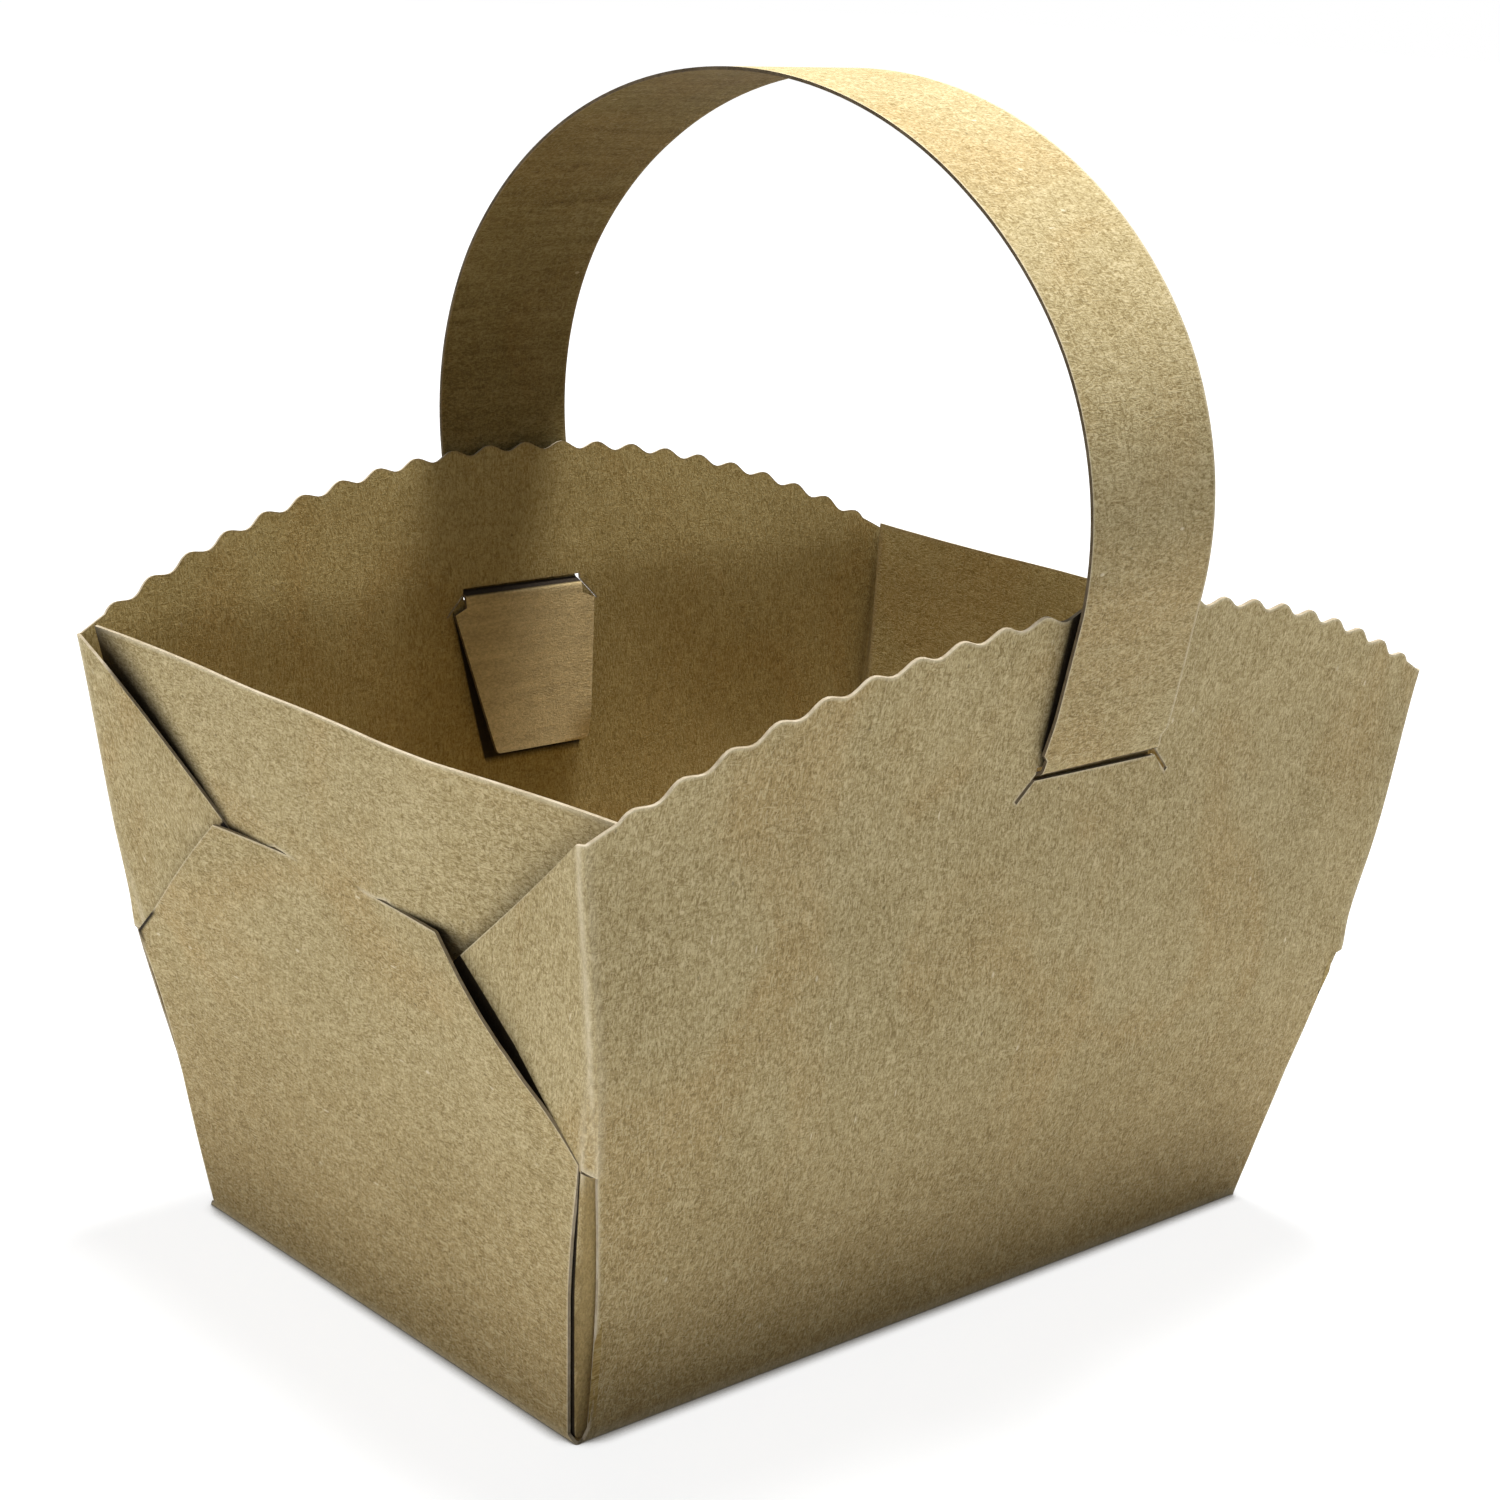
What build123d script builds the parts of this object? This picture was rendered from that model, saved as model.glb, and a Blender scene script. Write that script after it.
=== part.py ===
from build123d import *
import math
import os

# Paper treat basket: a tray folded from one die-cut sheet, and a strap handle
# whose two ends are pushed through slots in the long walls.
# Units are millimetres. X runs along the tray, Y across it, Z up from the table.
os.makedirs("parts", exist_ok=True)

# Board
sheet = 0.5             # thickness of the kraft board
fit = 0.15              # air between two layers that lie on each other
kerf = 0.3              # width of a die-cut slit once the board has relaxed

# Tray, outside
base_length = 108.0
base_width = 72.2
rim_length = 131.0      # corner to corner at the rim
rim_width = 94.4
corner_height = 70.8
arch_rise = 16.0        # rim of a long wall at its middle, above its corners
wall_bow = 2.2          # how far the strap springs the middle of that rim outwards
wall_spring = 2.7       # how far the long walls belly outwards at the foot of the slits
fold_crush = 0.3        # bevel that creasing leaves outside the folds around the base

# Standing corner folds: one round fold above the slit, two creases with a flat strip between
# them below it, where the tab goes inside
corner_radius = 0.9
strip_foot = 0.7        # how far the creases stand back from the corner at the base
strip_top = 1.9         # the same just below the slit
tuck_length = 5.0       # height over which the two creases run together

# Scalloped rim of the long walls
scallop_pitch = 5.9     # along the arch
scallop_depth = 1.0     # valley to peak

# End wall: a tongue below and an ear above, slit apart at both sides
slit_height = 54.4      # level part of the slit, up the slope of the wall
slit_start = 9.3        # from the middle of the wall to where the slit begins
slit_bend = 23.0        # from the middle to where it turns down at 45 degrees
tongue_proud = 0.25     # how far the tongue's top edge springs off the tab behind it
ear_height = 72.5       # top edge of the ear at its middle
ear_dip = 0.4           # how much higher its two tips are
ear_bend = 1.8          # how far the ear lies behind the tongue at the bend of the slit
ear_setback = 3.6       # how far behind it the ear's tips lie
ear_side_gap = 0.8      # between the ear's sides and the long walls

# Corner tabs, folded from the long walls and tucked behind the tongue
tab_slope = 35.5        # degrees, of the tab's upper edge
tab_tip = 13.0          # from the middle of the end wall to the hidden tip
tab_tip_radius = 3.0
tab_foot = 3.0          # height of the tab's lower end above the table
tab_foot_width = 9.0

# Strap handle
strap_width = 20.5
strap_crown = 138.6     # top of the strap above the table
strap_shift = 2.5       # how far along the long walls the slots sit past the middle
slot_height = 69.0      # middle of the strap slots above the table
slot_opening = 2.2      # height of a slot
slot_nick = 3.2         # reach of the two turned-down ends of a slot
slot_nick_width = 0.6
slot_play = 0.4         # between the neck of the strap and an end of the slot
neck_width = 19.0       # strap where it passes through the wall
neck_length = 3.4
lock_width = 22.8       # shoulders of the strap's end, caught inside the wall
lock_end_width = 16.2
lock_corner_radius = 0.6
lock_length = 20.5      # from the slot to the end of the strap
lock_stand_off = 1.0    # how far the hanging end stands off the wall inside
strap_bend = 0.8        # centre-line radius where the strap turns through the slot

# Worked out from the sizes above
rim_middle_height = corner_height + arch_rise
half_chord = rim_length / 2 - corner_radius
arch_radius = (half_chord**2 + arch_rise**2) / (2 * arch_rise)
arch_centre = rim_middle_height - arch_radius
arch_length = 2 * arch_radius * math.asin(half_chord / arch_radius)
scallop_count = math.floor(arch_length / scallop_pitch)
loft_top = rim_middle_height + 2 * scallop_depth
side_lean = (rim_width - base_width) / 2 / corner_height
middle_lean = side_lean + wall_bow / rim_middle_height
end_lean = (rim_length - base_length) / 2 / corner_height
end_rise = math.cos(math.atan(end_lean))
tuck = sheet / end_rise + fit
tongue_lean = end_lean + (tuck + tongue_proud) / (slit_height * end_rise)
tongue_angle = math.atan(tongue_lean)
slit_foot = (slit_bend + slit_height - base_width / 2) / (1 + side_lean * end_rise)
tuck_top = slit_foot * end_rise + tuck_length
tuck_foot = slit_foot * end_rise
foot_lean = side_lean + wall_spring / tuck_foot


def belly(height):
    """How far a long wall has sprung outwards, at a height above the table."""
    if height < tuck_foot:
        return wall_spring * height / tuck_foot
    return wall_spring * max(0, corner_height - height) / (corner_height - tuck_foot)


def half_width(height):
    """Outside half width of the tray at its corners, at a height above the table."""
    return base_width / 2 + side_lean * height + belly(height)


def tab_plane(height):
    """Distance from the middle of the tray to the outside of the corner tabs, at a height."""
    lowest = base_length / 2 - tuck
    if height < tuck_top:
        return lowest + tongue_lean * height
    share = (height - tuck_top) / (corner_height - tuck_top)
    below = lowest + tongue_lean * tuck_top
    return below + share * (rim_length / 2 - below)


def rim_point(along, out=0.0):
    """Point of the rim at a length along the arch from its middle, moved out from it."""
    turn = along / arch_radius
    reach = arch_radius + out
    return (reach * math.sin(turn), arch_centre + reach * math.cos(turn))


def wall_ring(height, inset, strip=0.0):
    """Level section of the folded walls, with bowed long sides, at a height above the table."""
    end = tab_plane(height) - inset
    side = half_width(height) - inset
    bow = wall_bow * height / rim_middle_height
    with BuildSketch(Plane.XY.offset(height)) as ring:
        with BuildLine():
            for turn in (-1, 1):
                start = (-turn * end, turn * side)
                finish = (turn * end, turn * side)
                if bow > 0:
                    ThreePointArc(start, (0, turn * (side + bow)), finish)
                else:
                    Line(start, finish)
                Line(finish, (turn * end, -turn * side))
        make_face()
        if strip > 0:
            chamfer(ring.vertices(), strip - inset * (2 - math.sqrt(2)))
        else:
            fillet(ring.vertices(), corner_radius - inset)
    return ring.sketch


def wall_rings(inset):
    """The sections that the folded walls run through, from the base to above the rim."""
    return [
        wall_ring(0, inset, strip_foot),
        wall_ring(tuck_foot, inset, strip_top),
        wall_ring(tuck_top, inset),
        wall_ring(corner_height, inset),
        wall_ring(loft_top, inset),
    ]


end_plane = Plane(
    origin=(base_length / 2, 0, 0),
    x_dir=(0, 1, 0),
    z_dir=(math.cos(tongue_angle), 0, -math.sin(tongue_angle)),
)
ear_plane = Plane(origin=end_plane.origin, x_dir=(0, 1, 0), z_dir=end_plane.y_dir)
side_angle = math.atan(foot_lean)
side_planes = [
    Plane(
        origin=(0, turn * base_width / 2, 0),
        x_dir=(-turn, 0, 0),
        z_dir=(0, turn * math.cos(side_angle), -math.sin(side_angle)),
    )
    for turn in (-1, 1)
]

strap_plane = Plane(origin=(strap_shift, 0, 0), x_dir=(1, 0, 0), z_dir=(0, -1, 0))

# End wall, folded up from the base: a flat tongue, and an ear whose wings bend in behind the tabs
ear_tip = ear_height + ear_dip
ear_foot_half = base_width / 2 - sheet - ear_side_gap
ear_spread = side_lean * end_rise
ear_low = (slit_bend + slit_height + kerf - ear_foot_half) / (1 + ear_spread)
with BuildPart() as end_wall:
    with BuildSketch(end_plane):
        with BuildLine():
            Polyline(
                (0, 0),
                (base_width / 2, 0),
                (slit_bend + slit_height - slit_foot, slit_foot),
                (slit_bend, slit_height),
                (0, slit_height),
                close=True,
            )
        make_face()
        mirror(about=Plane.YZ)
    extrude(amount=-sheet)
    with BuildPart(mode=Mode.ADD) as ear:
        with BuildSketch(ear_plane):
            with BuildLine():
                tip_half = ear_foot_half + ear_spread * ear_tip
                outer = [(slit_start, 0), (slit_bend, ear_bend), (tip_half, ear_setback)]
                inner = [(across, depth + sheet) for across, depth in reversed(outer)]
                Line((0, 0), outer[0])
                Spline(outer, tangents=[(1, 0), (tip_half - slit_bend, ear_setback - ear_bend)])
                Line(outer[-1], inner[0])
                Spline(inner, tangents=[(slit_bend - tip_half, ear_bend - ear_setback), (-1, 0)])
                Line(inner[-1], (0, sheet))
                Line((0, sheet), (0, 0))
            make_face()
            mirror(about=Plane.YZ)
        extrude(amount=ear_tip + sheet)
        with BuildSketch(end_plane):
            with BuildLine():
                for turn in (-1, 1):
                    Polyline(
                        (0, slit_height),
                        (turn * slit_start, slit_height),
                        (turn * slit_start, slit_height + kerf),
                        (turn * slit_bend, slit_height + kerf),
                        (turn * (ear_foot_half + ear_spread * ear_low), ear_low),
                        (turn * tip_half, ear_tip),
                    )
                ThreePointArc((-tip_half, ear_tip), (0, ear_height), (tip_half, ear_tip))
            make_face()
        extrude(amount=-2 * ear_setback, both=True, mode=Mode.INTERSECT)


def tab_side(height):
    """Distance from the middle of the end wall to where a tab leaves its corner fold."""
    return half_width(height) - corner_radius


# Tray: base, two bowed long walls with their corner tabs, and the two end walls, all one sheet
tab_drop = (tab_side(corner_height) - tab_tip) * math.tan(math.radians(tab_slope))
with BuildPart() as basket_tray:
    loft(wall_rings(0), ruled=True)
    loft(wall_rings(sheet), ruled=True, mode=Mode.SUBTRACT)

    # Arched rim with its scallops, the same on both long walls
    with BuildSketch(Plane.XZ):
        with BuildLine():
            half_waves = 2 * scallop_count - 1
            wave = scallop_pitch / 2
            start = -half_waves * wave / 2
            for number in range(half_waves):
                swing = scallop_depth / 2 if number % 2 == 0 else -scallop_depth / 2
                first = start + number * wave
                ThreePointArc(
                    rim_point(first),
                    rim_point(first + wave / 2, swing),
                    rim_point(first + wave),
                )
            Polyline(
                rim_point(start),
                (-half_chord, corner_height),
                (-rim_length, corner_height),
                (-rim_length, 0),
                (rim_length, 0),
                (rim_length, corner_height),
                (half_chord, corner_height),
                rim_point(-start),
            )
        make_face()
    extrude(amount=rim_width, both=True, mode=Mode.INTERSECT)

    # What is left of the ring at the ends is the four tabs, each with its rounded hidden tip
    with BuildSketch(Plane.YZ):
        with BuildLine():
            FilletPolyline(
                (0, loft_top),
                (tab_side(loft_top), loft_top),
                (tab_side(corner_height), corner_height),
                (tab_tip, corner_height - tab_drop),
                (tab_side(tab_foot) - tab_foot_width, tab_foot),
                (tab_side(tab_foot), tab_foot),
                (tab_side(0), 0),
                (0, 0),
                radius=(0, 0, tab_tip_radius, 0, 0, 0),
                close=False,
            )
            Line((0, 0), (0, loft_top))
        make_face()
        mirror(about=Plane.YZ)
    extrude(amount=rim_length, both=True, mode=Mode.SUBTRACT)

    # Below the slits the walls are cut free of the tabs, which go inside there
    side_rise = math.cos(side_angle)
    cut_foot = tab_plane(tab_foot) - strip_foot
    cut_top = tab_plane(tuck_foot) - strip_top
    with BuildSketch(*side_planes):
        with BuildLine():
            Polyline(
                (cut_foot - kerf, tab_foot / side_rise),
                (cut_foot, tab_foot / side_rise),
                (cut_top, tuck_foot / side_rise - kerf),
                (cut_top + 2 * strip_top, tuck_foot / side_rise - kerf),
                (cut_top + 2 * strip_top, tuck_foot / side_rise),
                (cut_top - kerf, tuck_foot / side_rise),
                close=True,
            )
        make_face()
        mirror(about=Plane.YZ)
    extrude(amount=-strip_top, mode=Mode.SUBTRACT)

    # Slots for the strap, their ends turned down so that its wide end can be worked through
    with BuildSketch(strap_plane):
        slot_half = neck_width / 2 + slot_play
        with Locations((0, slot_height)):
            Rectangle(2 * slot_half, slot_opening)
        with BuildLine():
            nick_start = (slot_half - slot_nick_width, slot_height)
            Line(nick_start, (slot_half + slot_nick, slot_height - slot_nick))
        trace(line_width=slot_nick_width)
        mirror(about=Plane.YZ)
    extrude(amount=rim_width, both=True, mode=Mode.SUBTRACT)

    with Locations((0, 0, sheet / 2)):
        Box(base_length, base_width, sheet)
    add(end_wall.part)
    add(end_wall.part.mirror(Plane.YZ))

    # Creasing leaves a small bevel outside each fold around the base
    for plane, half in ((Plane.YZ, base_width / 2), (Plane.XZ, base_length / 2)):
        with BuildSketch(plane):
            with BuildLine():
                Polyline(
                    (half - fold_crush, 0),
                    (half + fold_crush, 0),
                    (half + fold_crush, 2 * fold_crush),
                    close=True,
                )
            make_face()
            mirror(about=Plane.YZ)
        extrude(amount=rim_length, both=True, mode=Mode.SUBTRACT)

# Strap: one flat band bent into a bow, its two ends threaded through the slots from outside
leg_offset = (sheet / 2 + fit) / math.cos(math.atan(middle_lean))
leg_start = base_width / 2 + leg_offset
hang_start = base_width / 2 - leg_offset - sheet / math.cos(math.atan(middle_lean))
leg_top = rim_middle_height + scallop_depth / 2
crown = strap_crown - sheet / 2
bow_height = (leg_top * leg_start + middle_lean * crown**2) / (
    leg_start + 2 * middle_lean * crown - middle_lean * leg_top
)
bow_rise = crown - bow_height
bow_reach = leg_start + middle_lean * bow_height
bow_half = math.sqrt(bow_reach**2 - (middle_lean * bow_rise) ** 2)
leg_turn = math.degrees(math.asin((bow_height - leg_top) / bow_rise))
slot_top = slot_height + slot_opening / 2
slot_bottom = slot_height - slot_opening / 2
lock_bottom = slot_height - lock_length
lock_foot = hang_start + middle_lean * lock_bottom + belly(lock_bottom) - lock_stand_off
with BuildPart() as handle_strap:
    with BuildSketch(Plane.YZ.offset(strap_shift)):
        with BuildLine():
            FilletPolyline(
                (leg_start + middle_lean * leg_top, leg_top),
                (leg_start + middle_lean * slot_top, slot_top),
                (hang_start + middle_lean * slot_bottom, slot_bottom),
                (lock_foot, lock_bottom),
                radius=strap_bend,
            )
            EllipticalCenterArc(
                (0, bow_height), bow_half, bow_rise, start_angle=-leg_turn, arc_size=90 + leg_turn
            )
        trace(line_width=sheet)
        mirror(about=Plane.YZ)
    extrude(amount=lock_width, both=True)

    # Outline of the flat band: tapered ends, notched necks and a straight middle
    with BuildSketch(strap_plane):
        with BuildLine():
            neck_top = slot_height + neck_length / 2
            neck_bottom = slot_height - neck_length / 2
            shoulder = (strap_width - neck_width) / 2
            FilletPolyline(
                (0, lock_bottom),
                (lock_end_width / 2, lock_bottom),
                (lock_width / 2, neck_bottom - shoulder),
                (neck_width / 2, neck_bottom),
                (neck_width / 2, neck_top),
                (strap_width / 2, neck_top + shoulder),
                (strap_width / 2, strap_crown),
                (0, strap_crown),
                radius=(lock_corner_radius, 0, 0, 0, 0, 0),
            )
            Line((0, strap_crown), (0, lock_bottom))
        make_face()
        mirror(about=Plane.YZ)
    extrude(amount=rim_width, both=True, mode=Mode.INTERSECT)

basket_tray.part.label = "basket_tray"
handle_strap.part.label = "handle_strap"
export_step(basket_tray.part, "parts/basket_tray.step")
export_step(handle_strap.part, "parts/handle_strap.step")
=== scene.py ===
"""Dresses the paper treat basket: a tray folded from one kraft sheet, and its strap handle."""
import logging
import math
from dataclasses import dataclass, field
from enum import Enum
from typing import Any, Callable, Union

import bpy
import numpy as np
from mathutils import Matrix, Vector


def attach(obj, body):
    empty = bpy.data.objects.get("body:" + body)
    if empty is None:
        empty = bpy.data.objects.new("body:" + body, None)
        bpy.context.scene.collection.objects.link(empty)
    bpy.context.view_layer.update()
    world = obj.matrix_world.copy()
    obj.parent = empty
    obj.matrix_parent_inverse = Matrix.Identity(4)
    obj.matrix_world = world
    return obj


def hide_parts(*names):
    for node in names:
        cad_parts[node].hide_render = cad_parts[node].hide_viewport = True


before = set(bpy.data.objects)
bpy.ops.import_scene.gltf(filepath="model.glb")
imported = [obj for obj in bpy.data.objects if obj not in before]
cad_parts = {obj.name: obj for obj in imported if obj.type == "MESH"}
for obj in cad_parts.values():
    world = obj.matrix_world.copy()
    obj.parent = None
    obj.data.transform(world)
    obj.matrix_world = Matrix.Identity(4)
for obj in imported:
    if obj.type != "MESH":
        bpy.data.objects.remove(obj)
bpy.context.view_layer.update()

LOG = logging.getLogger("treat_basket")
MM = 0.001
BLANK = 400.0           # mm of flat board that one unit of the sheet map covers
WELD = 0.004            # mm within which the points of neighbouring panels are merged
CLOSE = 0.01            # mm, less than the step between any two rows of a panel
FINE = 1e-7             # m within which a bisecting cut runs through a vertex
TINY = 1e-6             # tolerance between numbers that are equal but for rounding
PLAIN_BEND = 23.0       # mm from the middle of an end wall to the bend of its slit, as in the CAD
Colour = tuple[float, float, float]
Corners = dict[tuple[int, int], float]
Number = Union["Signal", float]
Points = np.ndarray


class Face(Enum):
    """Which side of the board a mesh face shows; the value is its material index."""

    OUTSIDE = 0
    INSIDE = 1
    CUT_EDGE = 2


class Signal:
    """A number that runs through a material's nodes, used in plain sums."""

    def __init__(self, desk: "NodeDesk", socket: bpy.types.NodeSocket) -> None:
        """Keeps the desk that adds nodes and the socket that gives the number."""
        self.desk = desk
        self.socket = socket

    def _sum(self, operation: str, first: Number, second: Number) -> "Signal":
        """Adds one Math node.

        Args:
            operation: the Math node's operation.
            first: its first number.
            second: its second number.

        Returns:
            The node's result.
        """
        node = self.desk.node("ShaderNodeMath", {"operation": operation}, {0: first, 1: second})
        return Signal(self.desk, node.outputs[0])

    def __add__(self, other: Number) -> "Signal":
        """self + other."""
        return self._sum("ADD", self, other)

    def __radd__(self, other: float) -> "Signal":
        """other + self."""
        return self._sum("ADD", other, self)

    def __sub__(self, other: Number) -> "Signal":
        """self - other."""
        return self._sum("SUBTRACT", self, other)

    def __rsub__(self, other: float) -> "Signal":
        """other - self."""
        return self._sum("SUBTRACT", other, self)

    def __mul__(self, other: Number) -> "Signal":
        """self * other."""
        return self._sum("MULTIPLY", self, other)

    def __rmul__(self, other: float) -> "Signal":
        """other * self."""
        return self._sum("MULTIPLY", other, self)

    def both(self, other: Number) -> "Signal":
        """The larger of the two, point by point."""
        return self._sum("MAXIMUM", self, other)

    def step(self, low: float, high: float) -> "Signal":
        """Runs smoothly from 0 at low to 1 at high.

        Args:
            low: where the step starts.
            high: where it is over.

        Returns:
            The step, between 0 and 1.
        """
        settings = {"interpolation_type": "SMOOTHSTEP"}
        sockets = {"Value": self, "From Min": low, "From Max": high}
        node = self.desk.node("ShaderNodeMapRange", settings, sockets)
        return Signal(self.desk, node.outputs["Result"])


class NodeDesk:
    """Lays out the nodes of one material or world."""

    def __init__(self, tree: bpy.types.NodeTree) -> None:
        """Clears the tree so that every node in it is laid here."""
        self.tree = tree
        tree.nodes.clear()

    def node(self, kind: str, settings: dict[str, Any], sockets: dict[Any, Any]) -> bpy.types.Node:
        """Adds a node.

        Args:
            kind: the node's type.
            settings: its settings, set before its sockets.
            sockets: values or links by socket identifier, name or index.

        Returns:
            The new node.
        """
        made = self.tree.nodes.new(kind)
        for key, value in settings.items():
            setattr(made, key, value)
        for key, value in sockets.items():
            target = self._socket(made, key)
            if isinstance(value, Signal):
                self.tree.links.new(value.socket, target)
            elif isinstance(value, bpy.types.NodeSocket):
                self.tree.links.new(value, target)
            else:
                target.default_value = value
        return made

    @staticmethod
    def _socket(node: bpy.types.Node, key: Any) -> bpy.types.NodeSocket:
        """Finds one input of a node.

        Args:
            node: the node.
            key: the input's index, identifier or name.

        Returns:
            The input's socket.
        """
        if isinstance(key, int):
            return node.inputs[key]
        for socket in node.inputs:
            if socket.identifier == key:
                return socket
        return node.inputs[key]

    def signal(self, node: bpy.types.Node, output: Union[str, int]) -> Signal:
        """One output of a node as a number."""
        return Signal(self, node.outputs[output])

    def blend(self, share: Number, first: Any, second: Any, mode: str = "MIX") -> bpy.types.NodeSocket:
        """Mixes two colours.

        Args:
            share: how much of the second shows.
            first: a colour or a link to one.
            second: a colour or a link to one.
            mode: the Mix node's blend type.

        Returns:
            The mixed colour's socket.
        """
        ready = [(*c, 1.0) if isinstance(c, tuple) and len(c) == 3 else c for c in (first, second)]
        settings = {"data_type": "RGBA", "blend_type": mode, "clamp_factor": True}
        sockets = {"Factor_Float": share, "A_Color": ready[0], "B_Color": ready[1]}
        made = self.node("ShaderNodeMix", settings, sockets)
        return next(o for o in made.outputs if o.identifier == "Result_Color")

    def scaled(self, vector: bpy.types.NodeSocket, scale: Colour, shift: Colour) -> bpy.types.NodeSocket:
        """A place on the board, multiplied and moved.

        Args:
            vector: the place.
            scale: factor along each axis.
            shift: what is added after it.

        Returns:
            The new place's socket.
        """
        settings = {"operation": "MULTIPLY_ADD"}
        made = self.node("ShaderNodeVectorMath", settings, {0: vector, 1: scale, 2: shift})
        return made.outputs["Vector"]


@dataclass(frozen=True)
class KraftFace:
    """Finish of one board face: brown pulp, fibres, flecks, rubbed creases, painted light and shade."""

    name: str
    pulp: Colour
    shade: Colour
    fibre: Colour
    fleck: Colour
    # rubbed: pale colour of the folds' wear, also painted as a highlight along cut edges.
    rubbed: Colour
    core: Colour = (0.30, 0.215, 0.085)
    # The next colour is the near-black painted as shade in gaps, in slits and behind the strap.
    painted_shade: Colour = (0.013, 0.008, 0.005)
    # The next colour tints random patches, and is painted shade towards the bottom.
    warm_and_shade_tint: Colour = (0.92, 0.80, 0.66)
    gap: str = "gap"
    streak: float = 0.0
    seed: float = 0.0
    roughness: float = 0.86
    specular: float = 0.16
    hair_share: float = 0.62
    fleck_share: float = 0.45
    speck_share: float = 0.50
    speck_dark: float = 0.35
    wear_and_highlight_share: float = 0.85
    tone_and_light_share: float = 0.90
    core_dark: float = 0.62
    painted_shade_share: float = 0.97
    low_shade_height: float = 0.045
    bump_strength: float = 0.32
    bump_depth: float = 0.12

    def material(self) -> bpy.types.Material:
        """Builds the finish.

        Returns:
            The finished material.
        """
        made = bpy.data.materials.new(self.name)
        made.use_nodes = True
        desk = NodeDesk(made.node_tree)
        sheet = desk.node("ShaderNodeUVMap", {"uv_map": "UVMap"}, {}).outputs["UV"]
        place = desk.scaled(sheet, (BLANK, BLANK, 1.0), (self.seed, 3.0 * self.seed, self.seed))

        cloud = self._noise(desk, place, (0.09, 0.06, 1.0), 2.0, 0.5, 0.0)
        mottle = self._noise(desk, place, (0.85, 0.50, 1.0), 3.0, 0.6, 0.6)
        pulp = self._noise(desk, place, (2.1, 0.95, 1.0), 2.0, 0.6, 1.2)
        grain = self._noise(desk, place, (3.6, 2.2, 1.0), 1.0, 0.5, 0.5)
        hairs = self._noise(desk, place, (1.9, 0.55, 1.0), 1.0, 0.45, 2.6)
        hairs_across = self._noise(desk, place, (0.55, 1.7, 1.0), 1.0, 0.45, 2.8)
        light_hair = hairs.step(0.59, 0.70).both(0.9 * hairs_across.step(0.62, 0.72))
        dark_hair = hairs.step(0.41, 0.30).both(0.9 * hairs_across.step(0.38, 0.28))
        pale_fleck = self._flecks(desk, place, (0.30, 0.15, 1.0), 0.955, 0.070)
        long_fleck = self._flecks(desk, place, (0.17, 0.035, 1.0), 0.88, 0.022)
        dark_fleck = self._flecks(desk, place, (0.33, 0.22, 1.0), 0.93, 0.065)

        tone = 0.85 * (pulp - 0.5) + 0.80 * (grain - 0.5) + 0.42 * (mottle - 0.5) + 0.22 * (cloud - 0.5)
        if self.streak:
            bands = self._noise(desk, place, (0.75, 0.05, 1.0), 3.0, 0.6, 0.4)
            tone = tone + self.streak * (bands - 0.5)
        colour = desk.blend((tone + 0.02).step(-0.02, 0.40), self.pulp, self.fibre)
        colour = desk.blend((0.0 - tone).step(-0.02, 0.36), colour, self.shade)
        patch = self._noise(desk, place, (0.045, 0.030, 1.0), 3.0, 0.55, 0.8)
        # Random patches of tint, and painted shade that darkens the colour towards the bottom, below 45 mm.
        spot = desk.node("ShaderNodeTexCoord", {}, {}).outputs["Object"]
        rise = desk.signal(desk.node("ShaderNodeSeparateXYZ", {}, {"Vector": spot}), "Z")
        brown = (0.55 * patch.step(0.46, 0.72)).both(0.7 * rise.step(self.low_shade_height, 0.0))
        colour = desk.blend(brown, colour, self.warm_and_shade_tint, "MULTIPLY")
        colour = desk.blend(self.hair_share * light_hair, colour, self.fibre)
        colour = desk.blend(self.hair_share * dark_hair, colour, self.shade)
        colour = desk.blend(self.fleck_share * pale_fleck.both(long_fleck), colour, self.fleck)
        speck = tuple(self.speck_dark * c for c in self.shade)
        colour = desk.blend(self.speck_share * dark_fleck, colour, speck)
        # Pale line on the folds, where the board is rubbed, and along cut edges, where it is a painted
        # highlight.
        crease = desk.node("ShaderNodeAttribute", {"attribute_name": "crease"}, {})
        wear_and_edge_highlight = desk.signal(crease, "Fac") * (0.35 + 0.9 * mottle)
        colour = desk.blend(self.wear_and_highlight_share * wear_and_edge_highlight, colour, self.rubbed)
        # On the tuck strips a darker, more orange tone; on the strap's lock a much paler tone, painted light
        # where the lock hangs in shade.
        tone_and_painted_light = desk.node("ShaderNodeAttribute", {"attribute_name": "tone_and_painted_light"}, {})
        dark_core = tuple(self.core_dark * c for c in self.core)
        plain = desk.blend((0.5 - tone).step(0.0, 1.0), self.core, dark_core)
        colour = desk.blend(self.tone_and_light_share * desk.signal(tone_and_painted_light, "Fac"), colour, plain)
        # Painted shade where the attribute marks gaps, slits and the shadow of the strap and its lock.
        gap = desk.node("ShaderNodeAttribute", {"attribute_name": self.gap}, {})
        colour = desk.blend(self.painted_shade_share * desk.signal(gap, "Fac"), colour, self.painted_shade)

        height = 0.8 * pulp + 0.6 * grain + 0.5 * light_hair - 0.4 * dark_hair
        height = height + 0.8 * mottle + 0.5 * pale_fleck
        relief = {"Strength": self.bump_strength, "Distance": self.bump_depth * MM, "Height": height}
        bump = desk.node("ShaderNodeBump", {}, relief)
        rough = self.roughness - 0.10 * light_hair + 0.06 * (grain - 0.5)
        shader = desk.node(
            "ShaderNodeBsdfPrincipled",
            {},
            {
                "Base Color": colour,
                "Roughness": rough,
                "Normal": bump.outputs["Normal"],
                "Specular IOR Level": self.specular,
            },
        )
        desk.node("ShaderNodeOutputMaterial", {}, {"Surface": shader.outputs["BSDF"]})
        made.diffuse_color = (*self.pulp, 1.0)
        return made

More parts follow.
